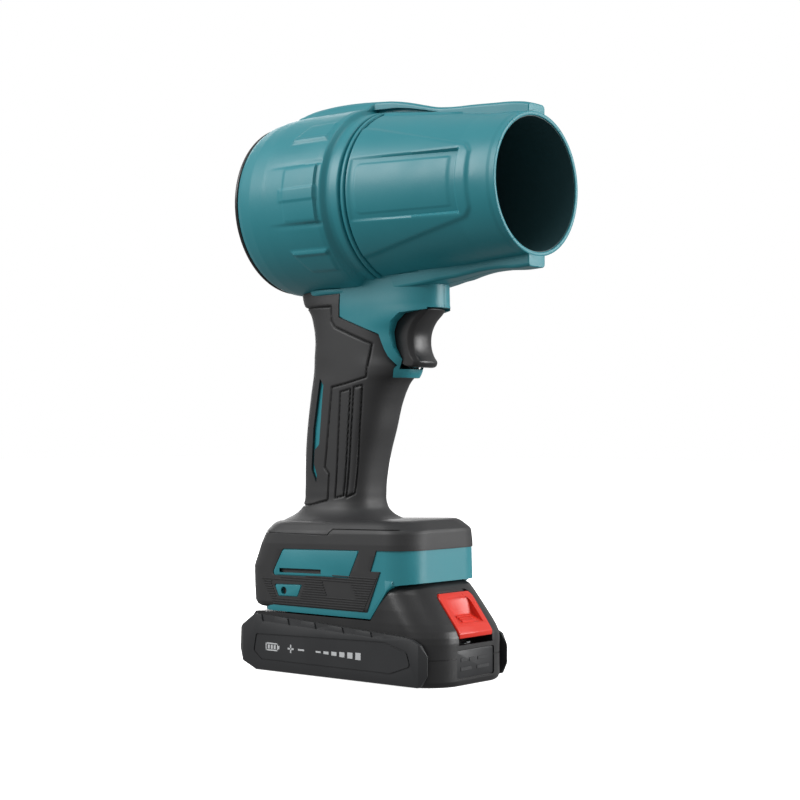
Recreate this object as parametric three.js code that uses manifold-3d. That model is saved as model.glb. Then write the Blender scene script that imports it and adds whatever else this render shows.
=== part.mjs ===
// Cordless pistol-grip air blower on a slide-on battery, in millimetres.
// +X is the way the air leaves, +Z is up, and Y = 0 is the plane where the two housing halves meet.
// The origin is the middle of the battery's flat underside.
import * as THREE from "three";
import { mergeVertices } from "three/addons/utils/BufferGeometryUtils.js";
import Module from "manifold-3d";

const wasm = await Module();
wasm.setup();

// Driving dimensions.
const gap = 0.3; // between neighbouring pieces
const skin = 1.8; // thickness of the soft overmould
const wall = 2.4; // thickness of the moulded housing
const axisZ = 254; // height of the barrel's axis
const barrel = { rear: -59.5, front: 106.5, rimR: 47, drumR: 50, coneR: 45.6, noseR: 37.6, mouthR: 36.4 };
const bore = { rearR: 44.6, drumR: 47, coneR: 42.8, mouthR: 34.4 };
const spine = { half: 7, rear: -60, front: 106.5 };
const neck = { half: 12, front: 47, cornerR: 9 };
const base = { rear: -69, front: 48.2, half: 33, cornerR: 16.5, bottom: 32.6, top: 83.5 };
const pack = { rear: -66, front: 67.5, half: 33.2, cornerR: 19, deck: 32, plateOuter: 35.5, split: 14 };
const rail = { rear: -50, front: 20, neckHalf: 18.4, headHalf: 22.4, ledge: 37, top: 44.4 };
const duct = { rear: -46, front: 20, innerR: 39, outerR: 41, canR: 17, canInnerR: 15 };
const fan = { rear: -36, front: -15, hubR: 15, tipR: 38.2, blades: 9 };
const trigger = { half: 9.2, slotGap: 0.6 };
const button = { half: 12.4, pocketGap: 0.5 };
const cell = { radius: 9.15, length: 65, pitch: 18.9, first: -46, z: 12.2 };

// Materials.
function plain(color, roughness, metalness = 0) {
  return new THREE.MeshStandardMaterial({ color, roughness, metalness });
}
const looks = {
  teal: plain(0x2d808b, 0.45),
  soft: plain(0x2f2f30, 0.75),
  black: plain(0x333334, 0.5),
  red: plain(0xd6382a, 0.4),
  steel: plain(0xb8bbbe, 0.3, 1),
  copper: plain(0xb8703c, 0.4, 1),
  brass: plain(0xc2a35a, 0.35, 1),
  board: plain(0x1f5a38, 0.5),
  wrap: plain(0x3a7a52, 0.5),
  wire: plain(0xa81f1f, 0.55),
};

// A three.js geometry as a closed solid that faces outwards.
function solid(geometry) {
  const bare = geometry.index ? geometry.toNonIndexed() : geometry.clone();
  bare.deleteAttribute("normal");
  bare.deleteAttribute("uv");
  const merged = mergeVertices(bare, 1e-4);
  const build = (triVerts) =>
    new wasm.Manifold(
      new wasm.Mesh({ numProp: 3, vertProperties: merged.attributes.position.array, triVerts }),
    );
  const made = build(new Uint32Array(merged.index.array));
  return made.volume() > 0 ? made : build(new Uint32Array(merged.index.array).reverse());
}

const join = (...solids) => solids.flat().reduce((sum, one) => sum.add(one));
const cut = (body, ...solids) => solids.flat().reduce((left, one) => left.subtract(one), body);
const outline = (points) => new THREE.Shape(points.map(([x, y]) => new THREE.Vector2(x, y)));

// An outline in X and Z, extruded from Y = low to Y = high.
function sideways(points, low, high) {
  const shape = points instanceof THREE.Shape ? points : outline(points);
  const made = new THREE.ExtrudeGeometry(shape, { depth: high - low, bevelEnabled: false, curveSegments: 8 });
  return solid(made.rotateX(Math.PI / 2).translate(0, high, 0));
}

// An outline in X and Y, extruded from Z = low to Z = high.
function upwards(points, low, high) {
  const shape = points instanceof THREE.Shape ? points : outline(points);
  const made = new THREE.ExtrudeGeometry(shape, { depth: high - low, bevelEnabled: false, curveSegments: 5 });
  return solid(made.translate(0, 0, low));
}

// An outline in Y and Z, extruded from X = low to X = high.
function forwards(points, low, high) {
  const made = new THREE.ExtrudeGeometry(outline(points), { depth: high - low, bevelEnabled: false });
  return solid(made.rotateY(Math.PI / 2).rotateX(Math.PI / 2).translate(low, 0, 0));
}

function block(x0, x1, y0, y1, z0, z1) {
  const made = new THREE.BoxGeometry(x1 - x0, y1 - y0, z1 - z0);
  return solid(made.translate((x0 + x1) / 2, (y0 + y1) / 2, (z0 + z1) / 2));
}

// A rectangle with round corners, from x0 to x1 and y0 to y1, with its own radius at the high-X end.
function roundedRect(x0, x1, y0, y1, lowR, highR = lowR) {
  const shape = new THREE.Shape();
  shape.absarc(x0 + lowR, y0 + lowR, lowR, Math.PI, 1.5 * Math.PI, false);
  shape.absarc(x1 - highR, y0 + highR, highR, 1.5 * Math.PI, 2 * Math.PI, false);
  shape.absarc(x1 - highR, y1 - highR, highR, 0, 0.5 * Math.PI, false);
  shape.absarc(x0 + lowR, y1 - lowR, lowR, 0.5 * Math.PI, Math.PI, false);
  return shape;
}

// A profile of [x, radius] turned about the barrel's axis.
function turned(profile, sides = 32) {
  const points = profile.map(([x, r]) => new THREE.Vector2(r, x));
  return solid(new THREE.LatheGeometry(points, sides).rotateZ(-Math.PI / 2).translate(0, 0, axisZ));
}

// A ring about the barrel's axis.
function ring(x0, x1, inner, outer, sides = 32) {
  return turned([[x0, inner], [x1, inner], [x1, outer], [x0, outer], [x0, inner]], sides);
}

// A round bar along Y, from y0 to y1.
function bar(x, z, radius, y0, y1, sides = 12) {
  return solid(new THREE.CylinderGeometry(radius, radius, y1 - y0, sides).translate(x, (y0 + y1) / 2, z));
}

// An upright round bar, from z0 to z1.
function post(x, y, radius, z0, z1, sides = 12) {
  const made = new THREE.CylinderGeometry(radius, radius, z1 - z0, sides).rotateX(Math.PI / 2);
  return solid(made.translate(x, y, (z0 + z1) / 2));
}

// A round wire along a curve through the points.
function wire(points, radius, steps, sides = 6) {
  const route = new THREE.CatmullRomCurve3(points.map(([x, y, z]) => new THREE.Vector3(x, y, z)));
  const section = new THREE.Shape().absarc(0, 0, radius, 0, 2 * Math.PI, false);
  const options = { steps, extrudePath: route, bevelEnabled: false, curveSegments: sides / 2 };
  return solid(new THREE.ExtrudeGeometry(section, options));
}

// A coil spring that starts at a point and grows along a direction.
function coil(start, along, length, radius, wireR, turns) {
  const side = Math.abs(along.z) > 0.5 ? new THREE.Vector3(1, 0, 0) : new THREE.Vector3(0, 0, 1);
  const other = new THREE.Vector3().crossVectors(along, side);
  const stepsPerTurn = 8;
  const points = [];
  for (let i = 0; i <= turns * stepsPerTurn; i++) {
    const turn = (i / stepsPerTurn) * 2 * Math.PI;
    const at = start.clone().addScaledVector(along, (length * i) / (turns * stepsPerTurn));
    at.addScaledVector(side, radius * Math.cos(turn)).addScaledVector(other, radius * Math.sin(turn));
    points.push([at.x, at.y, at.z]);
  }
  return wire(points, wireR, turns * stepsPerTurn, 4);
}

// Upright sections joined into one skin: each has its z, its rear and front X and its half width in Y.
function loft(sections, inset = 0, square = 2.5, sides = 20) {
  const made = new THREE.CylinderGeometry(1, 1, 1, sides, sections.length - 1);
  const spots = made.attributes.position;
  const swell = (v) => Math.sign(v) * Math.abs(v) ** (2 / square);
  for (let i = 0; i < spots.count; i++) {
    const [z, rear, front, half] = sections[Math.round((0.5 - spots.getY(i)) * (sections.length - 1))];
    const reach = Math.hypot(spots.getX(i), spots.getZ(i));
    const turn = Math.atan2(spots.getZ(i), spots.getX(i));
    const x = (rear + front) / 2 + reach * ((front - rear) / 2 - inset) * swell(Math.cos(turn));
    spots.setXYZ(i, x, reach * (half - inset) * swell(Math.sin(turn)), z);
  }
  return solid(made);
}

// A closed outline moved outwards by a distance, corner by corner.
function grown(points, distance) {
  const area = points.reduce((sum, [x, y], i) => {
    const [nx, ny] = points[(i + 1) % points.length];
    return sum + x * ny - nx * y;
  }, 0);
  const turnSign = Math.sign(area);
  return points.map(([x, y], i) => {
    const [px, py] = points[(i + points.length - 1) % points.length];
    const [nx, ny] = points[(i + 1) % points.length];
    const a = new THREE.Vector2(y - py, px - x).normalize().multiplyScalar(turnSign);
    const b = new THREE.Vector2(ny - y, x - nx).normalize().multiplyScalar(turnSign);
    const move = a.clone().add(b).multiplyScalar(distance / (1 + a.dot(b)));
    return [x + move.x, y + move.y];
  });
}

const group = new THREE.Group();

function addNode(name, body, look) {
  const { numProp, vertProperties, triVerts } = body.getMesh();
  const spots = new Float32Array((vertProperties.length / numProp) * 3);
  for (let i = 0; i < spots.length / 3; i++) {
    spots.set(vertProperties.subarray(i * numProp, i * numProp + 3), i * 3);
  }
  const made = new THREE.BufferGeometry().setAttribute("position", new THREE.BufferAttribute(spots, 3));
  made.setIndex(new THREE.BufferAttribute(triVerts, 1)).computeVertexNormals();
  const mesh = new THREE.Mesh(made, looks[look]);
  mesh.name = name;
  group.add(mesh);
}

// The two sides of the parting plane.
const rightSide = block(-200, 200, -100, -gap / 2, -20, 400);
const leftSide = block(-200, 200, gap / 2, 100, -20, 400);

// ---- Handle: outer shape, from the barrel down to the battery ----

// Sections of the grip from top to bottom: z, rear X, front X, half width.
const gripSections = [
  [210, -45, 20, 16],
  [197, -44, 20, 16.8],
  [187, -39, 18, 17],
  [176, -37.4, 16, 17],
  [163, -38.4, 14.5, 17],
  [148, -40.6, 10.4, 16.8],
  [130, -42.8, 5.4, 16.4],
  [110, -43.8, -0.6, 16.2],
  [96, -43.8, -2.9, 16.2],
  [89, -45, -1.6, 17],
  [85, -49, 3.5, 20.5],
  [81, -57, 14, 27],
  [74, -60, 20, 29],
];

// The base seen from the side: a level top, a bulging back and an underside stepped over the battery's nose.
const baseSide = [
  [-56, base.bottom],
  [-57, 36.4],
  [-65, 38],
  [base.rear, 55],
  [-66.5, 69],
  [-60, 79.5],
  [-50, 81.6],
  [42, base.top],
  [base.front, 77.5],
  [base.front, 52.4],
  [37, 50.4],
  [34.6, 49.4],
  [23.5, base.bottom],
];

function baseBody(inset) {
  const plan = roundedRect(
    base.rear + inset, base.front - inset, inset - base.half, base.half - inset, base.cornerR, base.cornerR,
  );
  const edge = base.half - inset;
  const crown = [[-edge, 20], [edge, 20], [edge, 71], [edge - 4, 80], [-24, 90], [24, 90]];
  const shape = [crown[0], crown[1], crown[2], crown[3], crown[5], crown[4], [4 - edge, 80], [-edge, 71]];
  return upwards(plan, 20, 90)
    .intersect(sideways(grown(baseSide, -inset), -40, 40))
    .intersect(forwards(shape, -80, 60));
}

// The housing in front of the grip, which holds the trigger and ends in a hook below it.
const neckSide = [
  [-12, 209],
  [-12, 180],
  [6, 160],
  [14, 157],
  [24, 157],
  [29.5, 158.8],
  [30.5, 162],
  [30, 194],
  [neck.front, 195.6],
  [neck.front, 212],
  [40, 216],
  [0, 216],
];

function neckBody() {
  const plan = roundedRect(-30, neck.front, -neck.half - 1.5, neck.half + 1.5, 4, neck.cornerR);
  return upwards(plan, 150, 220).intersect(sideways(neckSide, -20, 20));
}

const handleOuter = join(loft(gripSections), baseBody(0), neckBody());
const handleUnderSkin = join(loft(gripSections, skin), baseBody(skin));

// ---- Barrel: drum, collar, cone and nozzle, with a spine above and below ----

const drumFront = 3.5;
const collarRear = 8.5;
const grooveDepth = 1.4;
const barrelProfile = [
  [barrel.rear, 30],
  [barrel.rear, barrel.rimR - 0.6],
  [-57, 48],
  [-49, 49.4],
  [-38, barrel.drumR],
  [-8, barrel.drumR],
  [drumFront, 49.4],
  [collarRear, 46.9],
  [15, 46.4],
  [15, 46.4 - grooveDepth],
  [17.6, 46.2 - grooveDepth],
  [17.6, barrel.coneR],
  [60, 40],
  [84, barrel.noseR],
  [barrel.front, barrel.mouthR],
  [barrel.front, 30],
  [barrel.rear, 30],
];
const boreProfile = [
  [barrel.rear - 10, 0],
  [barrel.rear - 10, bore.rearR],
  [-53.6, bore.rearR],
  [-50, 46],
  [-38, bore.drumR],
  [0, bore.drumR],
  [10, 43.8],
  [18, bore.coneR],
  [60, 37.4],
  [barrel.front + 10, bore.mouthR],
  [barrel.front + 10, 0],
];

// The top spine swells over the drum, dips, and rises again at the mouth.
const topSpine = [
  [spine.rear + 2, 40],
  [-54, 50.6],
  [-42, 53],
  [-28, 54.1],
  [-8, 54],
  [10, 52.6],
  [26, 50],
  [38, 47],
  [48, 45],
  [60, 44.2],
  [96, 42.4],
  [104, 41],
  [spine.front, 39.4],
  [spine.front, 35.4],
  [20, 40],
];
const bottomSpine = [
  [-54, 40],
  [-50, 49.4],
  [12, 50.2],
  [48, 47.2],
  [58, 46],
  [72, 43.4],
  [86, 42.6],
  [104, 42.8],
  [spine.front, 41.4],
  [spine.front, 35.4],
  [20, 40],
];

function spineBody(points, up, half) {
  return sideways(points.map(([x, r]) => [x, axisZ + up * r]), -half, half);
}

// A long raised panel on each side of the cone.
function conePanel(side) {
  const rearX = 19;
  const frontX = 82;
  const half = 16;
  const slab = sideways(
    [[rearX, axisZ - half], [frontX, axisZ - half], [frontX, axisZ + half], [rearX, axisZ + half]],
    side > 0 ? 20 : -60,
    side > 0 ? 60 : -20,
  );
  return slab.intersect(turned([[rearX, 30], [rearX, 46.5], [frontX, 38.9], [frontX, 30], [rearX, 30]]));
}

const barrelBody = join(
  turned(barrelProfile),
  spineBody(topSpine, 1, spine.half),
  spineBody(bottomSpine, -1, spine.half + 1.5),
  conePanel(1),
  conePanel(-1),
);

// ---- Where the soft overmould lies, seen from the side ----

const softArea = [
  [-90, 204],
  [-12.5, 204],
  [-12.5, 191.5],
  [14.6, 180.6],
  [17.8, 172],
  [24, 163.7],
  [30, 159.8],
  [40, 156],
  [40, 110],
  [70, 110],
  [70, 69],
  [28, 68.4],
  [24, 57.6],
  [30.4, 57.4],
  [22, 37],
  [-90, 37],
];
const windowArea = [[-38.5, 66.6], [16.8, 67.6], [9.1, 52.8], [-47, 52]];
const hookArea = [[-45, 47.4], [-24, 47.8], [-27.4, 41], [-41.6, 40.8]];
const hookHole = { x: -37.6, z: 44, radius: 2 };
const slot = { x0: -41, x1: -10.5, z: 55.6, half: 0.9 };

const softPrism = sideways(softArea, -60, 60);
const softPocket = sideways(grown(softArea, gap), -60, 60);
const handleCore = join(loft(gripSections, skin + gap), baseBody(skin + gap), cut(neckBody(), softPocket));
const windows = [windowArea, hookArea].map((points) => sideways(points, -60, 60));
const windowPlugs = [windowArea, hookArea].map((points) => sideways(grown(points, -gap), -60, 60));

// ---- Screws that hold the halves together: X and Z of each, with the Y of its head ----

const screws = [
  { x: 38, z: 204, head: 11 },
  { x: 2, z: 199.6, head: 12.5 },
  { x: -2, z: 148, head: 13 },
  { x: -12, z: 104, head: 12.5 },
  { x: -54, z: 62, head: 22 },
  { x: 38, z: 66, head: 22 },
];
const screwR = 1.5;
const headR = 3;

function screwBody({ x, z, head }) {
  const shank = bar(x, z, screwR, -9, head, 10);
  const cap = bar(x, z, headR, head, head + 2, 16);
  return cut(join(shank, cap), block(x - 0.5, x + 0.5, head + 1, head + 3, z - 1.8, z + 1.8));
}
const screwHoles = screws.map(({ x, z, head }) =>
  join(bar(x, z, screwR + gap, -9 - gap, head, 10), bar(x, z, headR + gap, head - gap, 45)),
);
const screwPosts = screws.map(({ x, z }) => bar(x, z, 3.8, -40, 40));

// ---- Housing halves ----

const gripHollow = loft(gripSections.filter(([z]) => z < 200), skin + gap + wall);
const gripTopHollow = loft([[212, -32, 12, 13], [180, -33, 12, 13]]);
const baseHollow = join(
  upwards(roundedRect(-62, 43.5, -27.8, 27.8, 13, 13), 52.6, 76),
  block(-60, 80, -rail.headHalf - gap, rail.headHalf + gap, rail.ledge, 48.4),
  block(-60, 36, -rail.headHalf - gap, rail.headHalf + gap, 48, 53),
  block(-52, 80, -rail.neckHalf - gap, rail.neckHalf + gap, 20, rail.ledge + 1),
);
const switchHollow = block(-22, 20, -9.6, 9.6, 165, 192.6);
const neckHollow = block(10, 42, -8.4, 8.4, 198, 209);
const triggerSlot = sideways(
  [[8, 194.6], [60, 195.2], [60, 150], [31.5, 150], [31.2, 163.2], [24, 163.2], [12, 170], [8, 180]],
  -trigger.half - trigger.slotGap,
  trigger.half + trigger.slotGap,
);
// The open hollow in front of the neck that the trigger's cheeks and the finger reach into.
const cheekRecess = sideways(
  [[28, 193.4], [21.5, 187.6], [19.8, 181.4], [21.4, 174], [26, 167.4], [31, 164.4], [60, 164.4], [60, 193.6]],
  -30, 30,
);

const insertR = 2.6;
const hookInsertPlaces = [-1, 1].map((side) => ({ side, inner: 24, outer: 31 }));

const plugs = windowPlugs.map((plug) => plug.intersect(handleOuter));
const housing = cut(
  join(handleCore, cut(handleOuter, softPocket), plugs, barrelBody),
  turned(boreProfile),
  gripHollow,
  gripTopHollow,
  baseHollow,
  switchHollow,
  neckHollow,
);
const posts = screwPosts.map((one) =>
  one.intersect(join(handleCore, cut(handleOuter, softPocket))),
);
const shell = cut(
  join(housing, posts),
  turned(boreProfile),
  screwHoles,
  triggerSlot,
  cheekRecess,
  [-1, 1].map((side) =>
    block(slot.x0, slot.x1, side > 0 ? 31.2 : -40, side > 0 ? 40 : -31.2, slot.z - slot.half, slot.z + slot.half),
  ),
  hookInsertPlaces.map(({ side, inner, outer }) =>
    join(
      bar(hookHole.x, hookHole.z, insertR + gap, side > 0 ? inner : -outer, side > 0 ? outer : -inner),
      bar(hookHole.x, hookHole.z, hookHole.radius, side > 0 ? outer - 1 : -40, side > 0 ? 40 : 1 - outer),
    ),
  ),
);
addNode("right_housing", shell.intersect(rightSide), "teal");
addNode("left_housing", shell.intersect(leftSide), "teal");

// ---- Soft overmould on each half ----

const overmould = cut(
  cut(handleOuter, handleUnderSkin).intersect(softPrism),
  windows,
  turned([[-80, 0], [-80, barrel.drumR + 0.6], [60, barrel.drumR + 0.6], [60, 0]]),
  spineBody(bottomSpine.map(([x, r]) => [x - 1, r + 0.4]), -1, spine.half + 2),
  cut(neckBody(), sideways(softArea, -60, 60)),
  screwHoles,
  triggerSlot,
  cheekRecess,
);
addNode("right_grip", overmould.intersect(rightSide), "soft");
addNode("left_grip", overmould.intersect(leftSide), "soft");

screws.forEach((screw, i) => addNode(`housing_screw_${i + 1}`, screwBody(screw), "steel"));
hookInsertPlaces.forEach(({ side, inner, outer }) => {
  const y0 = side > 0 ? inner + gap : -outer + gap;
  const y1 = side > 0 ? outer - gap : -inner - gap;
  const sleeve = cut(bar(hookHole.x, hookHole.z, insertR, y0, y1), bar(hookHole.x, hookHole.z, 1.6, -40, 40, 12));
  addNode(side > 0 ? "hook_insert_left" : "hook_insert_right", sleeve, "brass");
});

// ---- Intake grille ----

function intakeGrille() {
  const rear = barrel.rear - 2.3;
  const face = barrel.rear - gap;
  const rim = ring(rear, face, 42.6, barrel.rimR);
  const spigot = ring(face - 1, -54.2, 42.6, bore.rearR - gap);
  const rings = [34.4, 26.2, 18].map((r) => ring(rear, rear + 2.4, r, r + 1.7, 24));
  const hub = turned([[rear, 0], [rear, 10], [rear + 2.8, 10], [rear + 2.8, 0]], 24);
  const spokes = [0, 60, 120].map((degrees) =>
    block(rear + 0.2, rear + 2.6, -43.4, 43.4, -1, 1).rotate([degrees, 0, 0]).translate([0, 0, axisZ]),
  );
  return join(rim, spigot, rings, hub, spokes);
}
addNode("intake_grille", intakeGrille(), "black");

// ---- Duct with guide vanes, motor and fan ----

function fanDuct() {
  const tube = turned([
    [duct.rear, duct.innerR + 3],
    [duct.rear, 46],
    [duct.rear + 2, 46],
    [duct.rear + 3.6, duct.outerR],
    [duct.front, duct.outerR],
    [duct.front, duct.innerR],
    [duct.rear + 5, duct.innerR],
    [duct.rear, duct.innerR + 3],
  ]);
  const can = ring(-12, duct.front, duct.canInnerR, duct.canR, 28);
  const backWall = ring(-12, -9.6, 6.4, duct.canInnerR + 1, 28);
  const vanes = [];
  for (let i = 0; i < 8; i++) {
    const vane = block(-9, 14, -0.8, 0.8, duct.canR - 1, duct.innerR + 1);
    vanes.push(vane.rotate([i * 45 + 22.5, 0, 0]).translate([0, 0, axisZ]));
  }
  return join(tube, can, backWall, vanes);
}
addNode("fan_duct", fanDuct(), "black");

const shaftR = 2;
const stator = cut(
  ring(-8, 12, 9.4, duct.canInnerR - gap, 24),
  [0, 60, 120].map((degrees) =>
    block(-20, 20, -1.1, 1.1, -11.5, 11.5).rotate([degrees, 0, 0]).translate([0, 0, axisZ]),
  ),
);
addNode("motor_stator", stator, "copper");
addNode("rotor_magnet", ring(-8, 12, shaftR + 0.2, 8.7, 20), "steel");
addNode("motor_shaft", turned([[-44, 0], [-44, shaftR], [19, shaftR], [19, 0]], 12), "steel");
addNode("rear_bearing", ring(-12.2, -9.4, shaftR + 0.2, 6.1, 16), "steel");
addNode("front_bearing", ring(14.4, 17.4, shaftR + 0.2, 6.1, 16), "steel");
addNode("motor_end_cap", ring(14, 17.6, 6.4, duct.canInnerR - gap, 24), "black");

function tailCone() {
  const start = duct.front + gap;
  return turned([
    [start, 0], [start, duct.canR], [start + 14, 15.4], [start + 28, 10.6], [start + 36, 5.4], [start + 39, 0],
  ], 28);
}
addNode("tail_cone", tailCone(), "black");

function impeller() {
  const hub = turned([
    [fan.rear, shaftR + 0.2],
    [fan.rear, 9],
    [fan.rear + 6, 13.4],
    [fan.rear + 11, fan.hubR],
    [fan.front, fan.hubR],
    [fan.front, shaftR + 0.2],
    [fan.rear, shaftR + 0.2],
  ], 27);
  const sweep = ring(fan.rear + 1, fan.front - 1, 8, fan.tipR, 36);
  const blades = [];
  for (let i = 0; i < fan.blades; i++) {
    const blade = solid(new THREE.BoxGeometry(26, 1.6, 34).rotateZ(0.72).translate(-25.5, 0, 25));
    blades.push(blade.rotate([(i * 360) / fan.blades, 0, 0]).translate([0, 0, axisZ]).intersect(sweep));
  }
  return join(hub, blades);
}
addNode("impeller", impeller(), "black");

function spinnerNut() {
  const rear = fan.rear - gap;
  return cut(
    turned([[rear, 0], [rear, 7.6], [rear - 3, 7], [rear - 8.6, 4.4], [rear - 11, 0]], 16),
    turned([[rear + 2, 0], [rear + 2, shaftR + 0.2], [-44.3, shaftR + 0.2], [-44.3, 0]], 12),
  );
}
addNode("spinner_nut", spinnerNut(), "brass");

// ---- Trigger, its spring and the switch ----

const triggerSide = new THREE.Shape();
triggerSide.moveTo(14, 191.2);
triggerSide.lineTo(29, 192.6);
triggerSide.lineTo(43, 193.4);
triggerSide.quadraticCurveTo(36, 188, 33.4, 181);
triggerSide.quadraticCurveTo(32.6, 174, 36.6, 167.4);
triggerSide.lineTo(33.4, 165.2);
triggerSide.lineTo(28, 164.8);
triggerSide.quadraticCurveTo(19, 170, 14.6, 179);
addNode("trigger", sideways(triggerSide, -trigger.half, trigger.half), "black");

const springStart = new THREE.Vector3(3.4, 0, 184.5);
addNode("trigger_spring", coil(springStart, new THREE.Vector3(1, 0, 0), 9.6, 2.6, 0.45, 5), "steel");
const switchBody = cut(
  block(-20, 6.6, -8.4, 8.4, 167.6, 191),
  solid(new THREE.CylinderGeometry(3.6, 3.6, 14, 16).rotateZ(Math.PI / 2).translate(3, 0, 184.5)),
);
addNode("switch_body", switchBody, "black");

// ---- Electronics in the base and the leads up the grip ----

addNode("control_board", block(-46, 30, -23, 23, 62.6, 64.2), "board");
const bladeY = [-9, 9];
const terminalBlock = block(-46, -18, -18, 18, 46, 58);
const bladeBodies = bladeY.map((y) => block(-44, -30, y - 0.5, y + 0.5, 38, 50));
const bladeSockets = bladeY.map((y) => block(-44.4, -29.6, y - 0.9, y + 0.9, 40, 50.4));
addNode("terminal_block", cut(terminalBlock, bladeSockets), "black");
bladeBodies.forEach((body, i) => addNode(`terminal_blade_${i + 1}`, body, "brass"));

[-5, 0, 5].forEach((y, i) => {
  const route = [[-30, y, 64.7], [-30, y, 90], [-29, y, 130], [-28, y, 175], [-22, y, 200], [-8, y, 211.6]];
  addNode(`motor_lead_${i + 1}`, wire(route, 1.1, 14), "wire");
});
[-4, 4].forEach((y, i) => {
  const route = [[-16, y, 64.7], [-20, y, 90], [-19, y, 130], [-14, y, 167]];
  addNode(`switch_lead_${i + 1}`, wire(route, 1, 10), "wire");
});

// ---- Battery ----

// The pack seen from the side, with a sloping nose that carries the release button.
const packSide = [
  [-64, 0],
  [pack.rear, 2.5],
  [pack.rear, 26],
  [-60, pack.deck],
  [23.9, pack.deck],
  [34.9, 48.6],
  [37.3, 49.8],
  [48.4, 51.6],
  [66.3, 27.6],
  [pack.front, 24.5],
  [pack.front, 2.5],
  [65, 0],
];
const packPlan = roundedRect(pack.rear, pack.front, -pack.half, pack.half, 8, pack.cornerR);
const packOuter = upwards(packPlan, -5, 60).intersect(sideways(packSide, -40, 40));
const railBlock = join(
  block(rail.rear, rail.front, -rail.neckHalf + 0.4, rail.neckHalf - 0.4, 28, rail.ledge + 2),
  block(rail.rear, rail.front, -rail.headHalf, rail.headHalf, rail.ledge + 1.6, rail.top),
);
const cellHollow = join(
  upwards(roundedRect(-63, 48, -30.6, 30.6, 4, 4), 2.2, 21.8),
  block(-56.5, 39.5, -50, 50, 2.8, 21.8),
  block(-54, 22, -26, 26, 21, 29),
);
const railHollow = join(
  block(rail.rear + 2, rail.front - 2, -15.6, 15.6, 27, 42.4),
  bladeY.map((y) => block(rail.rear - 1, -26, y - 1.6, y + 1.6, 37.4, 50)),
);
// The nose is hollow behind its sloping wall.
const noseHollow = sideways([[26, 21], [26, 31], [37, 46.6], [46.4, 48], [47.5, 46], [47.5, 21]], -22, 22);
const buttonSide = [
  [51.6, 46],
  [52.9, 45.7],
  [66.3, 27.8],
  [67.8, 24],
  [67.6, 22.2],
  [60, 22],
  [52, 32],
  [51, 40],
];
const buttonPocket = sideways(
  [[50.2, 60], [50.2, 30], [55.5, 20.5], [58, 15.4], [64.6, 15.4], [64.6, 19.2], [80, 19.2], [80, 60]],
  -button.half - button.pocketGap,
  button.half + button.pocketGap,
);
const packScrews = [[-60.4, -22], [-60.4, 22], [56, -16], [56, 16]];
const packScrewHoles = packScrews.map(([x, y]) => join(post(x, y, 1.7, -1, 20, 10), post(x, y, 3, -1, 2.2)));
const packPosts = packScrews.map(([x, y]) => post(x, y, 3.5, 0.5, 24));
const packShell = cut(
  join(cut(join(packOuter, railBlock), cellHollow, railHollow, noseHollow), packPosts),
  buttonPocket,
  packScrewHoles,
);
const below = block(-100, 100, -50, 50, -5, pack.split - gap / 2);
const above = block(-100, 100, -50, 50, pack.split + gap / 2, 80);
addNode("battery_lower_case", packShell.intersect(below), "black");
addNode("battery_upper_case", packShell.intersect(above), "black");
packScrews.forEach(([x, y], i) => {
  const body = join(post(x, y, 1.3, 0.9, 17, 10), post(x, y, 2.6, 0.5, 1.9, 14));
  addNode(`battery_screw_${i + 1}`, body, "steel");
});

for (let i = 0; i < 5; i++) {
  const body = bar(cell.first + i * cell.pitch, cell.z, cell.radius, -cell.length / 2, cell.length / 2, 24);
  addNode(`cell_${i + 1}`, body, "wrap");
}

const plateSide = [
  [-57, 30.4],
  [-69, 22.4],
  [-69.4, 10.6],
  [-66.4, 4.2],
  [-57, 0.9],
  [60, 0.9],
  [64.6, 4.6],
  [64.6, 20],
  [56, 25.4],
  [46, 26],
];
function sidePlate(side) {
  const near = pack.half + gap;
  const bevel = 1.4;
  const flat = pack.plateOuter - near - bevel;
  const options = { depth: flat, bevelEnabled: true, bevelThickness: bevel, bevelSize: 2, bevelSegments: 1 };
  const plate = solid(
    new THREE.ExtrudeGeometry(outline(grown(plateSide, -2)), { ...options, bevelOffset: 0 })
      .rotateX(Math.PI / 2)
      .translate(0, pack.plateOuter - bevel, 0),
  );
  const right = cut(plate, block(-100, 100, 0, near, -20, 80));
  return side > 0 ? right : right.mirror([0, 1, 0]);
}
addNode("side_plate_right", sidePlate(-1), "black");
addNode("side_plate_left", sidePlate(1), "black");

const scoop = sideways([[55.2, 45.5], [57.8, 36.5], [66, 30.6], [74, 60]], -9, 9);
addNode("release_button", cut(sideways(buttonSide, -button.half, button.half), scoop), "red");
const latchStart = new THREE.Vector3(61.2, 0, 16.1);
addNode("latch_spring", coil(latchStart, new THREE.Vector3(0, 0, 1), 5.2, 2.4, 0.4, 3), "steel");

addNode("battery_board", block(-52, 20, -24, 24, 22.6, 24), "board");
const contactBlock = cut(
  block(-46, -14, -15, 15, 24.4, 41.8),
  bladeY.map((y) => block(-47, -26, y - 1.7, y + 1.7, 36, 50)),
);
addNode("contact_block", contactBlock, "black");

export default group;
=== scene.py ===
import bpy
import bmesh
import math
import numpy as np
from mathutils import Matrix, Vector


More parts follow.
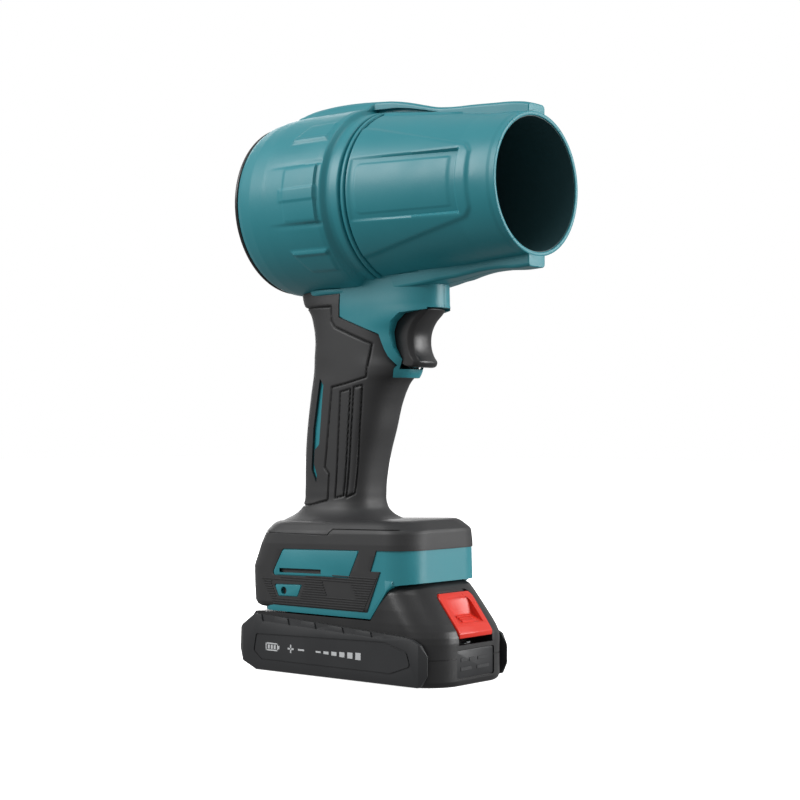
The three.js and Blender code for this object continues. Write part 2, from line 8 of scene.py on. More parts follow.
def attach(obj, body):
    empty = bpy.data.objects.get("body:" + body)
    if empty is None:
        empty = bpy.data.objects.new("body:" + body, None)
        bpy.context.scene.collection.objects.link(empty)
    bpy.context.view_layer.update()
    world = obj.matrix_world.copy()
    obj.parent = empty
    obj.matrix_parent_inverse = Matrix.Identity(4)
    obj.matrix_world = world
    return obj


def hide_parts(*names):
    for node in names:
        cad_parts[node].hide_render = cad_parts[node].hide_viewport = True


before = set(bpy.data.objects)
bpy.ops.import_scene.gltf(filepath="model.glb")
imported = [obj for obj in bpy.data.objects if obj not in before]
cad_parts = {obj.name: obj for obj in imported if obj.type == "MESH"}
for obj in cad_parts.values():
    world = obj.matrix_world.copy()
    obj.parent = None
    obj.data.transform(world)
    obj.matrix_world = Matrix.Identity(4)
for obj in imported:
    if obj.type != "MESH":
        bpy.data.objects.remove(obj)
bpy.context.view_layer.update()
mm = 0.001
barrelZ = 254.0  # height of the barrel's axis in mm; everything below is modelled in mm and scaled once
sides = (-1, 1)  # right, left

# ---------- small helpers ----------


def srgb(code):
    channels = [int(code[i:i + 2], 16) / 255 for i in (1, 3, 5)]
    return [c / 12.92 if c <= 0.04045 else ((c + 0.055) / 1.055) ** 2.4 for c in channels] + [1.0]


def addNode(tree, kind, settings=None, links=None):
    node = tree.nodes.new("ShaderNode" + kind)
    for key, value in (settings or {}).items():
        if key in node.inputs:
            node.inputs[key].default_value = value
        else:
            setattr(node, key, value)
    for key, source in (links or {}).items():
        tree.links.new(source, node.inputs[key])
    return node


def newMaterial(name, shader):
    material = bpy.data.materials.new(name)
    material.use_nodes = True
    tree = material.node_tree
    tree.nodes.clear()
    bsdf = addNode(tree, "BsdfPrincipled", shader)
    addNode(tree, "OutputMaterial", links={"Surface": bsdf.outputs["BSDF"]})
    material.diffuse_color = shader["Base Color"]
    return material, tree, bsdf


# A moulded plastic: spark-eroded grain as bump, a little uneven gloss and colour over the surface.
def mouldedPlastic(name, colour, shade, grain, depth, gloss):
    material, tree, bsdf = newMaterial(name, {"Base Color": srgb(colour), "Roughness": gloss, "IOR": 1.5})
    spot = addNode(tree, "TexCoord").outputs["Object"]
    fine = addNode(tree, "TexNoise", {"Scale": 1 / (grain * mm), "Detail": 2.0, "Roughness": 0.6},
                   {"Vector": spot})
    # Patches about 22 mm wide.
    broad = addNode(tree, "TexNoise", {"Scale": 45.0, "Detail": 3.0}, {"Vector": spot})
    bump = addNode(tree, "Bump", {"Strength": 0.35, "Distance": depth * mm},
                   {"Height": fine.outputs["Fac"]})
    tint = addNode(tree, "Mix", {"data_type": "RGBA"})
    tint.inputs[6].default_value = srgb(colour)
    tint.inputs[7].default_value = srgb(shade)
    tree.links.new(broad.outputs["Fac"], tint.inputs[0])
    rough = addNode(tree, "MapRange",
                    {"From Min": 0.3, "From Max": 0.7, "To Min": gloss - 0.05, "To Max": gloss + 0.07},
                    {"Value": broad.outputs["Fac"]})
    tree.links.new(tint.outputs[2], bsdf.inputs["Base Color"])
    tree.links.new(rough.outputs["Result"], bsdf.inputs["Roughness"])
    tree.links.new(bump.outputs["Normal"], bsdf.inputs["Normal"])
    return material


# A machined or drawn metal with fine turning marks, about 0.4 mm apart.
def machinedMetal(name, colour, gloss):
    shader = {"Base Color": srgb(colour), "Metallic": 1.0, "Roughness": gloss}
    material, tree, bsdf = newMaterial(name, shader)
    spot = addNode(tree, "TexCoord").outputs["Object"]
    marks = addNode(tree, "TexNoise", {"Scale": 2600.0, "Detail": 1.0}, {"Vector": spot})
    bump = addNode(tree, "Bump", {"Strength": 0.25, "Distance": 0.02 * mm},
                   {"Height": marks.outputs["Fac"]})
    tree.links.new(bump.outputs["Normal"], bsdf.inputs["Normal"])
    return material


tealAbs = mouldedPlastic("tealAbsSatin", "#26808b", "#2a8792", 0.45, 0.03, 0.38)
# A darker, greyer teal for the skin inside the bore: painted shade, since the bore's plastic is the
# shell's teal.
tealPaintedBoreShade = mouldedPlastic("tealAbsPaintedBoreShade", "#34565b", "#2f4f54", 0.6, 0.03, 0.5)
softTpe = mouldedPlastic("blackTpeSoftTouch", "#29292a", "#2f2f30", 0.3, 0.05, 0.52)
blackAbs = mouldedPlastic("blackAbsSpark", "#212122", "#272728", 0.5, 0.05, 0.33)
blackPlate = mouldedPlastic("blackAbsSatinPlate", "#262729", "#2c2d2f", 0.4, 0.03, 0.42)
redPc = mouldedPlastic("redPolycarbonate", "#e03424", "#d92f20", 0.5, 0.015, 0.3)
greyInk = mouldedPlastic("greyPadPrint", "#c9cbcc", "#c2c4c6", 0.2, 0.005, 0.5)
boardMask = mouldedPlastic("greenSolderMask", "#1f5a38", "#1c5334", 0.4, 0.01, 0.35)
cellWrap = mouldedPlastic("pvcShrinkWrap", "#3a7a52", "#35724c", 0.8, 0.01, 0.3)
wireCover = mouldedPlastic("siliconeWireCover", "#a81f1f", "#9c1c1c", 0.5, 0.02, 0.5)
turnedSteel = machinedMetal("turnedZincSteel", "#b4b7ba", 0.32)
copperWire = machinedMetal("enamelledCopper", "#b4683a", 0.38)
turnedBrass = machinedMetal("turnedBrass", "#c2a35a", 0.3)


def toObject(name, bm, material, sharp=32):
    mesh = bpy.data.meshes.new(name)
    bm.to_mesh(mesh)
    bm.free()
    piece = bpy.data.objects.new(name, mesh)
    bpy.context.collection.objects.link(piece)
    mesh.materials.append(material)
    piece["sharp"] = sharp
    return piece


# Scales the piece to metres, smooths all but its real edges and lists it with the frame.
def settle(piece, body, slot, *nodes):
    mesh = piece.data
    bm = bmesh.new()
    bm.from_mesh(mesh)
    bmesh.ops.remove_doubles(bm, verts=bm.verts, dist=0.0005)
    bmesh.ops.dissolve_degenerate(bm, edges=bm.edges, dist=0.0005)
    bmesh.ops.scale(bm, vec=(mm, mm, mm), verts=bm.verts)
    bm.to_mesh(mesh)
    bm.free()
    mesh.shade_smooth()
    mesh.set_sharp_from_angle(angle=math.radians(piece["sharp"]))
    del piece["sharp"]
    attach(piece, body)
    if nodes:
        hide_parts(*nodes)


def applied(piece):
    graph = bpy.context.evaluated_depsgraph_get()
    mesh = bpy.data.meshes.new_from_object(piece.evaluated_get(graph))
    piece.modifiers.clear()
    piece.data = mesh
    return piece


def combine(piece, others, operation):
    for other in others:
        step = piece.modifiers.new(operation.lower(), "BOOLEAN")
        step.operation = operation
        step.solver = "EXACT"
        step.object = other
    bpy.context.view_layer.update()
    applied(piece)
    for other in others:
        bpy.data.objects.remove(other)
    return piece


def cut(piece, *others):
    return combine(piece, others, "DIFFERENCE")


def keep(piece, *others):
    return combine(piece, others, "INTERSECT")


def fuse(piece, *others):
    return combine(piece, others, "UNION")


# Rounds the edges that are sharper than the limit.
def soften(piece, width, segments=3, limit=38):
    step = piece.modifiers.new("soften", "BEVEL")
    step.width = width
    step.segments = segments
    step.limit_method = "ANGLE"
    step.angle_limit = math.radians(limit)
    bpy.context.view_layer.update()
    return applied(piece)


# An outline whose corners become arcs; each corner is (x, y) or (x, y, radius).
def rounded(corners, steps=6):
    points = []
    count = len(corners)
    for i, corner in enumerate(corners):
        here = Vector(corner[:2])
        radius = corner[2] if len(corner) > 2 else 0
        before = Vector(corners[i - 1][:2]) - here
        after = Vector(corners[(i + 1) % count][:2]) - here
        if not radius:
            points.append(here)
            continue
        half = before.angle(after) / 2
        reach = min(radius / math.tan(half), before.length * 0.49, after.length * 0.49)
        size = reach * math.tan(half)
        start = here + before.normalized() * reach
        end = here + after.normalized() * reach
        centre = here + (before.normalized() + after.normalized()).normalized() * (size / math.sin(half))
        first = math.atan2(start.y - centre.y, start.x - centre.x)
        turn = math.atan2(end.y - centre.y, end.x - centre.x) - first
        turn = (turn + math.pi) % (2 * math.pi) - math.pi
        for k in range(steps + 1):
            angle = first + turn * k / steps
            points.append(centre + Vector((math.cos(angle), math.sin(angle))) * size)
    return points


# The corners of an upright rectangle, all with one radius.
def box(x0, z0, x1, z1, radius=0):
    return [(x0, z0, radius), (x1, z0, radius), (x1, z1, radius), (x0, z1, radius)]


def bevelEdges(bm, edges, offset, segments):
    bmesh.ops.bevel(bm, geom=edges, offset=offset, offset_type="OFFSET", segments=segments, profile=0.5,
                    affect="EDGES", clamp_overlap=True, material=-1)


# Stands an outline up as a solid. "Y": outline in X, Z; "Z": outline in X, Y; "X": outline in Y, Z.
def prism(name, outline, low, high, along="Y", material=None, bevel=0, segments=3):
    spots = {"Y": lambda a, b: (a, low, b),
             "Z": lambda a, b: (a, b, low),
             "X": lambda a, b: (low, a, b)}[along]
    way = {"Y": (0, high - low, 0), "Z": (0, 0, high - low), "X": (high - low, 0, 0)}[along]
    bm = bmesh.new()
    face = bm.faces.new([bm.verts.new(spots(p[0], p[1])) for p in outline])
    grown = bmesh.ops.extrude_face_region(bm, geom=[face])["geom"]
    bmesh.ops.translate(bm, vec=way, verts=[g for g in grown if isinstance(g, bmesh.types.BMVert)])
    bmesh.ops.recalc_face_normals(bm, faces=bm.faces)
    if bevel:
        bevelEdges(bm, bm.edges[:], bevel, segments)
    return toObject(name, bm, material or blackAbs)


# A line of points spun about an axis through the origin; it closes on itself or ends on the axis.
def spinLine(spots, axis, steps, closed):
    bm = bmesh.new()
    verts = [bm.verts.new(spot) for spot in spots]
    edges = [bm.edges.new((a, b)) for a, b in zip(verts, verts[1:])]
    if closed:
        edges.append(bm.edges.new((verts[-1], verts[0])))
    bmesh.ops.spin(bm, geom=verts + edges, axis=axis, cent=(0, 0, 0), angle=2 * math.pi, steps=steps,
                   use_merge=True)
    bmesh.ops.remove_doubles(bm, verts=bm.verts, dist=0.001)
    bmesh.ops.recalc_face_normals(bm, faces=bm.faces)
    return bm


# A profile of (x, radius) points spun about the barrel's axis.
def spun(name, profile, material, steps=96, closed=True):
    bm = spinLine([(x, 0, r) for x, r in profile], (1, 0, 0), steps, closed)
    bmesh.ops.translate(bm, vec=(0, 0, barrelZ), verts=bm.verts)
    return toObject(name, bm, material)


# Turns a shape that stands above the axis to its place round the barrel.
def aroundBarrel(bm, turn):
    bmesh.ops.rotate(bm, verts=bm.verts, cent=(0, 0, 0), matrix=Matrix.Rotation(turn, 3, "X"))
    bmesh.ops.translate(bm, vec=(0, 0, barrelZ), verts=bm.verts)


# A closed skin from a grid: place(u, v) gives x, y, z arrays; u runs round, v runs along.
def skinOf(name, columns, rows, place, material, caps=True, sharp=40):
    bm = bmesh.new()
    bmesh.ops.create_grid(bm, x_segments=columns, y_segments=rows, size=0.5)
    spots = np.array([vert.co for vert in bm.verts]) + 0.5
    u, v = spots[:, 0], np.round(spots[:, 1], 5)
    if caps:
        # The first and last rows fold in to a point in the middle of each end.
        levels = np.unique(v)
        last = len(levels) - 1
        row = np.searchsorted(levels, v)
        v = np.clip((row - 1) / (last - 2), 0, 1)
    x, y, z = place(u, v)
    if caps:
        for end in (row == 0, row == last):
            for values in (x, y, z):
                values[end] = values[end].mean()
    for vert, spot in zip(bm.verts, zip(x, y, z)):
        vert.co = spot
    bmesh.ops.remove_doubles(bm, verts=bm.verts, dist=0.002)
    bmesh.ops.recalc_face_normals(bm, faces=bm.faces)
    return toObject(name, bm, material, sharp)


# 0 to 1 as the value passes the edge, softly over the width.
def ramp(value, edge, width):
    t = np.clip((value - edge) / width + 0.5, 0, 1)
    return t * t * (3 - 2 * t)


# Signed distance to a polygon in the side view, positive inside.
def depthIn(polygon, x, z):
    best = np.full(x.shape, 1e9)
    inside = np.zeros(x.shape, bool)
    for (ax, az), (bx, bz) in zip(polygon, polygon[1:] + polygon[:1]):
        ex, ez = bx - ax, bz - az
        t = np.clip(((x - ax) * ex + (z - az) * ez) / (ex * ex + ez * ez), 0, 1)
        best = np.minimum(best, np.hypot(x - ax - t * ex, z - az - t * ez))
        crosses = (az > z) != (bz > z)
        side = ex * (z - az) / (ez if ez else 1e-9) + ax
        inside ^= crosses & (x < side)
    return np.where(inside, best, -best)


def keyed(x, keys):
    return np.interp(x, [k for k, _ in keys], [v for _, v in keys])


# A smooth curve through the keys.
def flowing(x, keys):
    kx = np.array([k for k, _ in keys], float)
    kv = np.array([v for _, v in keys], float)
    slope = np.gradient(kv, kx)
    i = np.clip(np.searchsorted(kx, x) - 1, 0, len(kx) - 2)
    width = kx[i + 1] - kx[i]
    t = np.clip((x - kx[i]) / width, 0, 1)
    a = (1 + 2 * t) * (1 - t) ** 2 * kv[i] + t * (1 - t) ** 2 * width * slope[i]
    return a + t * t * (3 - 2 * t) * kv[i + 1] + t * t * (t - 1) * width * slope[i + 1]


# ---------- camera, floor and light ----------

view = {"place": (0.60075, -0.69628, 0.12905), "target": (0.0165, 0.0, 0.1465), "lens": 76.5}


def addCamera():
    data = bpy.data.cameras.new("camera")
    data.lens = view["lens"]
    data.sensor_width = 36
    data.clip_start = 0.05
    camera = bpy.data.objects.new("camera", data)
    bpy.context.collection.objects.link(camera)
    camera.location = view["place"]
    look = Vector(view["target"]) - Vector(view["place"])
    camera.rotation_euler = look.to_track_quat("-Z", "Y").to_euler()
    bpy.context.scene.camera = camera


addCamera()

studio = {
    "skyAbove": 0.5, "skyBelow": 0.26,
    "lamps": [
        # name, place, size, power, aimed at
        ("leftBox", (-0.7, -1.05, 0.95), 0.8, 15.0, (0, 0, 0.17)),
        ("rightBox", (1.0, 0.62, 0.40), 0.75, 13.0, (0.03, 0, 0.16)),
        ("topBox", (0.25, -0.25, 1.25), 0.5, 2.0, (0, 0, 0.2)),
        ("rearBox", (-0.95, 0.75, 0.5), 0.8, 6.0, (0, 0, 0.15)),
    ],
}


def addStudio():
    bm = bmesh.new()
    bmesh.ops.create_grid(bm, x_segments=2, y_segments=2, size=6)
    floor = toObject("floor", bm, newMaterial("paleSeamlessPaper", {
        "Base Color": srgb("#ffffff"), "Roughness": 0.9, "Emission Color": srgb("#ffffff"),
        "Emission Strength": 0.85})[0])
    del floor["sharp"]
    floor.visible_diffuse = False
    floor.visible_glossy = False
    world = bpy.data.worlds.new("studioAir")
    bpy.context.scene.world = world
    world.use_nodes = True
    tree = world.node_tree
    tree.nodes.clear()
    # Seen directly the air is white paper; as a light it is soft above and dim below.
    ray = addNode(tree, "LightPath")
    way = addNode(tree, "TexCoord")
    parts = addNode(tree, "SeparateXYZ", links={"Vector": way.outputs["Generated"]})
    glow = addNode(tree, "MapRange",
                   {"From Min": -0.6, "From Max": 0.6, "To Min": studio["skyBelow"],
                    "To Max": studio["skyAbove"]},
                   {"Value": parts.outputs["Z"]})
    seen = addNode(tree, "Mix",
                   links={"Factor": ray.outputs["Is Camera Ray"], "A": glow.outputs["Result"]})
    seen.inputs["B"].default_value = 1.0
    air = addNode(tree, "Background", links={"Strength": seen.outputs["Result"]})
    air.inputs["Color"].default_value = (1, 1, 1, 1)
    addNode(tree, "OutputWorld", links={"Surface": air.outputs["Background"]})
    for name, place, size, power, aim in studio["lamps"]:
        data = bpy.data.lights.new(name, "AREA")
        data.shape = "SQUARE"
        data.size = size
        data.energy = power
        lamp = bpy.data.objects.new(name, data)
        bpy.context.collection.objects.link(lamp)
        lamp.location = place
        lamp.rotation_euler = (Vector(aim) - Vector(place)).to_track_quat("-Z", "Y").to_euler()
    bpy.context.scene.view_settings.view_transform = "Standard"


addStudio()
print("stage ready")

# ---------- barrel ----------

barrel = {
    # x and radius
    "outside": [(-59.5, 46.4), (-58.9, 47.1), (-56, 48.2), (-48, 49.5), (-38, 50), (0, 50), (3.2, 49.5),
                (5.4, 46.9), (7.6, 46.3), (8.8, 46.3), (9.3, 46.9), (12.9, 46.7), (13.3, 46.2),
                (13.4, 45.0), (14.7, 45.0), (14.8, 46.0), (15.2, 46.4), (16.6, 46.4), (17.0, 46.0),
                (17.1, 44.6), (18.1, 44.6), (18.2, 45.0), (18.6, 45.4), (82.5, 38), (102.2, 36.9),
                (103.2, 36.5), (106.2, 36.4), (106.5, 36.0)],
    "inside": [(106.5, 34.8), (106.2, 34.4), (60, 37.4), (18, 42.8), (10, 43.8), (0, 47), (-38, 47),
               (-50, 46), (-53.6, 44.7), (-59.2, 44.7), (-59.5, 45.0)],
    "drum": 50, "cone": [(18, 45.4), (82.5, 38)],
    "columns": 340, "spacing": 0.85,
}


def drumRelief(x, rise):
    arc = np.abs(rise) * barrel["drum"]  # mm round the drum from its widest point
    grow = np.clip((x + 36) / 36, 0, 1) * ramp(-x, -0.3, 0.7)
    pad = ramp(-arc, -15.2, 1.0)
    lift = 1.15 * grow * pad
    blocks = ramp(x, -22.5, 1.0) * ramp(-x, -0.3, 0.7) * ramp(-arc, -13.8, 0.8)
    lift = lift + 0.3 * blocks
    rib = ramp(x, -25.2, 1.0) * ramp(-x, -1.0, 0.7) * ramp(-arc, -3.3, 0.6)
    lift = lift + 0.45 * rib
    valley = ramp(arc, 15.4, 0.8) * ramp(-arc, -17.6, 1.6) * np.clip((x + 34) / 34, 0, 1)
    lift = lift - 0.5 * (valley * ramp(-x, -3.0, 1.0))
    # Pointed bars and shallow pads above and below.
    outerPad = [(-25.5, 30.4), (2.4, 30.4), (0.2, 33.6), (1.6, 36.0), (0.4, 44.6), (-18.2, 44.6)]
    bar = [(-25.5, 30.4), (2.4, 30.4), (0.2, 33.6), (-22.4, 33.6)]
    lift = lift + 0.5 * ramp(depthIn(outerPad, x, arc), 0.3, 0.8)
    return lift + 0.75 * ramp(depthIn(bar, x, arc), 0.5, 1.0)


def coneRelief(x, high):
    high = np.abs(high)
    wedge = keyed(x, [(19, 34), (27, 32.5), (87, 18.6), (92, 17.6)])
    land = ramp(wedge - high, 0.6, 2.4) * ramp(-x, -90.5, 2.2) * ramp(x, 18.4, 0.6)
    corner = ramp(-(x - 86) - (high - 14) * 0.9, -4.6, 2.4)
    lift = 0.85 * land * np.where(x > 80, corner, 1)
    panel = ramp(-high, -15.8, 0.7) * ramp(x, 20.2, 0.8) * ramp(-x, -83.4, 0.5)
    lift = lift - panel * (0.45 + 1.75 * np.clip((x - 20) / 63, 0, 1))
    inset = [(23, 9.5), (23.8, 12.0), (26, 12.8), (78.5, 12.8), (78.5, 0), (78.5, -12.8), (26, -12.8),
             (23.8, -12.0), (23, -9.5)]
    return lift + 0.3 * ramp(depthIn(inset, x, high), 0.2, 0.6)


def makeBarrel():
    # Each row of the skin: x, radius and 1 where the relief applies.
    track = []
    for (ax, ar), (bx, br) in zip(barrel["outside"], barrel["outside"][1:]):
        pieces = max(1, round(math.hypot(bx - ax, br - ar) / barrel["spacing"]))
        track += [(ax + (bx - ax) * k / pieces, ar + (br - ar) * k / pieces, 1) for k in range(pieces)]
    track += [(*barrel["outside"][-1], 1)]
    track += [(x, r, 0) for x, r in barrel["inside"]]
    track.append(track[0])
    table = np.array(track)

    def place(u, v):
        row = np.rint(v * (len(track) - 1)).astype(int)
        x, r, outer = table[row, 0], table[row, 1], table[row, 2]
        # The columns crowd at the sides and, on the cone, run level so that they follow the panel's edges.
        turn = u * 2 * math.pi - 0.2 * np.sin(4 * math.pi * u)
        rise = np.arcsin(np.clip(np.sin(turn), -1, 1))
        widest = barrel["cone"][0][1]
        level = np.arcsin(np.clip(np.sin(rise) * widest / np.clip(r, 30, widest), -1, 1))
        rise = rise + (level - rise) * ramp(-np.abs(rise), -0.75, 0.5) * (x > 18)
        turn = np.where(np.cos(turn) < 0, math.pi - rise, rise)
        side = np.cos(turn)
        lift = drumRelief(x, rise) * (x < 8) + coneRelief(x, r * np.sin(turn)) * (x > 18)
        r = r + lift * outer
        return x, r * side, barrelZ + r * np.sin(turn)

    shell = skinOf("barrelShell", barrel["columns"], len(track) - 1, place, tealAbs, caps=False, sharp=50)
    settle(shell, "housing", "teal_plastic", "right_housing", "left_housing")


makeBarrel()


def makeBoreShadeSleeve():
    # A teal skin a hair inside the shell, darker and greyer than the shell's teal: painted shade for the
    # shadowed inside of the bore.
    line = [(105.7, 34.3), (60, 37.2), (18, 42.5), (10, 43.4), (10, 43.1), (18, 42.2), (60, 36.9),
            (105.7, 34.0)]
    settle(spun("boreShadeSleeve", line, tealPaintedBoreShade, 128), "housing", "black_plastic")


makeBoreShadeSleeve()
print("barrel ready")

# ---------- spines above and below the barrel ----------

boreLine = [(-59, 47.8), (0, 47.8), (12, 44.8), (18, 43.6), (60, 38.3), (107, 35.3)]
spines = {
    "top": {
        "up": 1,
        "crest": [(-57, 47.6), (-54, 50.2), (-48, 51.9), (-42, 53.0), (-30, 54.0), (-19, 54.3), (-5, 53.9),
                  (6, 53.1), (16.5, 52.1), (27, 50.2), (37, 47.7), (47, 45.3), (57, 44.2), (70, 43.7),
                  (83, 43.0), (96, 42.2), (103, 41.2), (106.3, 40.4)],
        "half": [(-57, 5.6), (-40, 6.6), (0, 7), (107, 7)],
        "flare": [(-57, 0), (-48, 1.5), (-37, 7), (0, 9), (3.4, 9), (4.6, 0), (107, 0)],
        "foot": [(-59, 46.6), (3.4, 46.2), (4.6, 48.8), (20, 48.2), (30, 46.7), (40, 44.5), (50, 42.2),
                 (58, 40), (61, 38), (107, 35.3)],
    },
    "bottom": {
        "up": -1,
        "crest": [(-50, 48.6), (-44, 50.1), (-20, 50.6), (10, 50.4), (30, 49.4), (48, 47.1), (54, 46.1),
                  (60, 45.5), (67, 44.2), (77, 42.7), (87, 42.2), (98, 42.5), (106.3, 42.0)],
        "half": [(-50, 3), (-37, 13.5), (0, 15.8), (20, 15.6), (47, 12.6), (59, 9.9), (68, 8), (107, 7)],
        "flare": [(-57, 0), (107, 0)], "foot": boreLine,
    },
    # The narrow root that carries the top spine over the collar's shadow gap.
    "root": {
        "up": 1, "crest": [(2, 50), (20, 49.4), (40, 45.6), (62, 41.6)],
        "half": [(2, 3.6), (62, 3.6)], "flare": [(2, 0), (62, 0)], "foot": boreLine,
    },
}


def makeSpine(name, form):
    start, end = form["crest"][0][0], min(106.4, form["crest"][-1][0])
    corner, nose = 1.7, 0.6

    def place(u, v):
        # The last rows draw in to a rounded front edge.
        t = np.clip((v - 0.96) / 0.04, 0, 1)
        x = start + (end - nose - start) * np.clip(v / 0.96, 0, 1) + nose * np.sin(t * math.pi / 2)
        tuck = nose * (1 - np.cos(t * math.pi / 2))
        crest = flowing(x, form["crest"]) - tuck
        half = flowing(x, form["half"]) - tuck
        foot = keyed(x, form["foot"]) + tuck
        # A box section: one side, a slightly crowned crest, the other side and an underside.
        s = u * 4
        deep = crest - foot
        faces = [s < 1, s < 2, s < 3]
        low = s >= 3
        high = np.select(faces, [s, 1, 3 - s], 0)
        wide = half + keyed(x, form["flare"]) * (1 - np.clip(high, 0, 1)) ** 1.4
        y = np.select(faces, [-wide, 2 * half * (s - 1) - half, wide], wide * (7 - 2 * s))
        r = np.select(faces, [foot + deep * s, crest, crest - deep * (s - 2)], foot)
        inY = np.clip(np.abs(y) - (half - corner), 0, corner)
        inR = np.clip(r - (crest - corner), 0, corner)
        reach = np.hypot(inY, inR)
        pull = np.where((inY > 0) & (inR > 0) & (reach > corner), corner / np.maximum(reach, 1e-6), 1)
        y = np.sign(y) * (np.abs(y) - inY + inY * pull)
        r = r - inR + inR * pull
        r = np.where(low, foot, r - 0.25 * (y / np.maximum(half, 1)) ** 2)
        # The halves meet in a hairline along the crest.
        seam = np.exp(-(y / 0.22) ** 2) * ((s >= 1) & (s < 2))
        r = r - 0.3 * seam
        return x, y, barrelZ + form["up"] * r

    settle(skinOf(name, 120, 225, place, tealAbs, sharp=45), "housing", "teal_plastic")


for key, form in spines.items():
    makeSpine(key + "Spine", form)


# A low step that widens the top spine's foot on the cone.
def makeSpineFoot():
    half = [(18.4, 16.0), (40, 13.6), (59, 9.9), (66, 6.8)]
    start, end = half[0][0], half[-1][0]

    def place(u, v):
        x = start + (end - start) * v
        w = keyed(x, half)
        s = u * 2
        y = np.where(s < 1, -w + 2 * w * s, w - 2 * w * (s - 1))
        surface = np.sqrt(np.maximum(keyed(x, barrel["cone"]) ** 2 - y ** 2, 1))
        edge = np.clip((w - np.abs(y)) / 0.5, 0, 1)
        r = np.where(s < 1, surface + 1.3 * np.sqrt(edge) - 0.3, surface - 1.2)
        return x, y, barrelZ + r

    settle(skinOf("spineStepUp", 60, 60, place, tealAbs), "housing", "teal_plastic")


makeSpineFoot()
print("spines ready")

# ---------- grip, neck and trigger guard ----------

grip = {
    # z, rear x, front x, half width
    "stations": [(210, -49, 22, 15.5), (203, -48.4, 22, 16.4), (199, -46.6, 22, 16.8),
                 (196, -43.4, 22, 16.9), (187, -39.4, 21, 17), (180, -38.2, 20, 17), (170, -38.8, 21, 17),
                 (164, -39.2, 24, 17), (160, -39.6, 22.5, 17), (156.5, -40.0, 18.6, 17),
                 (152, -40.8, 15.6, 16.9), (147, -41.6, 13.2, 16.8), (130.5, -44.0, 8.2, 16.5),
                 (119.5, -44.9, 4.6, 16.3), (108.5, -45.2, 2.0, 16.2), (97.5, -45.2, 0.6, 16.3),
                 (91, -45.6, 0.8, 16.8), (87, -47.4, 2.6, 18.4), (84, -51.0, 6.6, 21.2),
                 (81.4, -56, 13, 25.4), (79, -60, 19, 28.4), (74, -61, 20, 28.8)],
    "power": 2.9,
    "black": [(-90, 214), (-12.6, 214), (-12.6, 191.2), (14.4, 180.6), (17.4, 172.6), (19.2, 169.2),
              (24, 163.7), (30.2, 159.8), (40, 155.6), (40, 70), (-90, 70)],
    # The thumb and palm panel reaches down the back of the grip.
    "palmPanel": [(-70, 197.6), (-18.4, 197.3), (-17.9, 189.2), (-15.4, 186.0), (9.9, 176.2),
                  (6.4, 158.5), (-7.7, 155.3), (-17.6, 153.6), (-23.2, 110), (-20.2, 106.7), (-21, 92.4),
                  (-34, 89.6), (-70, 88.0)],
    "slats": [[(-11.3, 150.9), (-4.2, 152.4), (-10.2, 95.1), (-15.6, 93.8)],
              [(-1.8, 153.4), (3.6, 154.3), (-4.4, 96.4), (-8.5, 94.3)]],
    "accent": [(-27.3, 158.6), (-24.1, 154.9), (-27.4, 122.5), (-31.1, 119.6), (-31.6, 112.1),
               (-29.2, 106.1), (-29.6, 101.6), (-33.9, 109.2), (-32.4, 130.9)],
    "grooveDepth": 1.15, "grooveWidth": 0.42,
}


def gripPlace(inset, relief, form):
    stations = form["stations"][::-1]

    def place(u, v):
        z = stations[0][0] + (stations[-1][0] - stations[0][0]) * v
        rear, front, half = (flowing(z, [(s[0], s[column]) for s in stations]) for column in (1, 2, 3))
        turn = u * 2 * math.pi
        cx, sy, bend = np.cos(turn), np.sin(turn), form["power"]
        reach = (np.abs(cx) ** bend + np.abs(sy) ** bend) ** (-1 / bend)
        x = (rear + front) / 2 + ((front - rear) / 2 - inset) * reach * cx
        y = (half - inset) * reach * sy
        if relief:
            sunk = gripRelief(x, z)
            x = x - cx * sunk
            y = y - sy * sunk
        return x, y, z

    return place


# A round-bottomed line along an outline, from the distance to it.
def groove(distance):
    return grip["grooveDepth"] * np.exp(-(distance / grip["grooveWidth"]) ** 2)


def gripRelief(x, z):
    palm = depthIn(grip["palmPanel"], x, z)
    sunk = groove(palm) - 0.35 * ramp(palm, 0.9, 1.0)
    for outline in grip["slats"]:
        depth = depthIn(outline, x, z)
        sunk = np.maximum(sunk, groove(depth)) - 0.55 * np.sqrt(np.clip(depth / 3.2, 0, 1))
    return sunk


# The room for the trigger's travel and its spring.
def triggerSlot():
    return prism("triggerSlot", [(-3.4, 194.9), (60, 194.5), (60, 150), (33.6, 150), (31.6, 162.8),
                                 (24, 162.4), (15, 166.3), (8, 171.6), (-3.4, 178)], -9.8, 9.8)


def makeGrip():
    skin = skinOf("gripSkin", 320, 280, gripPlace(0, True, grip), softTpe, sharp=60)
    keep(skin, prism("gripArea", grip["black"], -60, 60))
    slots = [prism("accentSlot", grip["accent"], side * 11, side * 60) for side in sides]
    room = barrel["drum"] + 0.35
    drum = spun("drumRoom", [(-80, 0), (-80, room), (60, room), (60, 0)], tealAbs, 128, closed=False)
    cut(skin, *slots, drum, triggerSlot())
    settle(skin, "housing", "soft_rubber", "right_grip", "left_grip")
    core = skinOf("gripCore", 96, 110, gripPlace(1.5, False, grip), tealAbs, sharp=60)
    keep(core, prism("coreArea", box(-90, 80, 60, 205), -60, 60))
    settle(cut(core, triggerSlot()), "housing", "teal_plastic")


makeGrip()

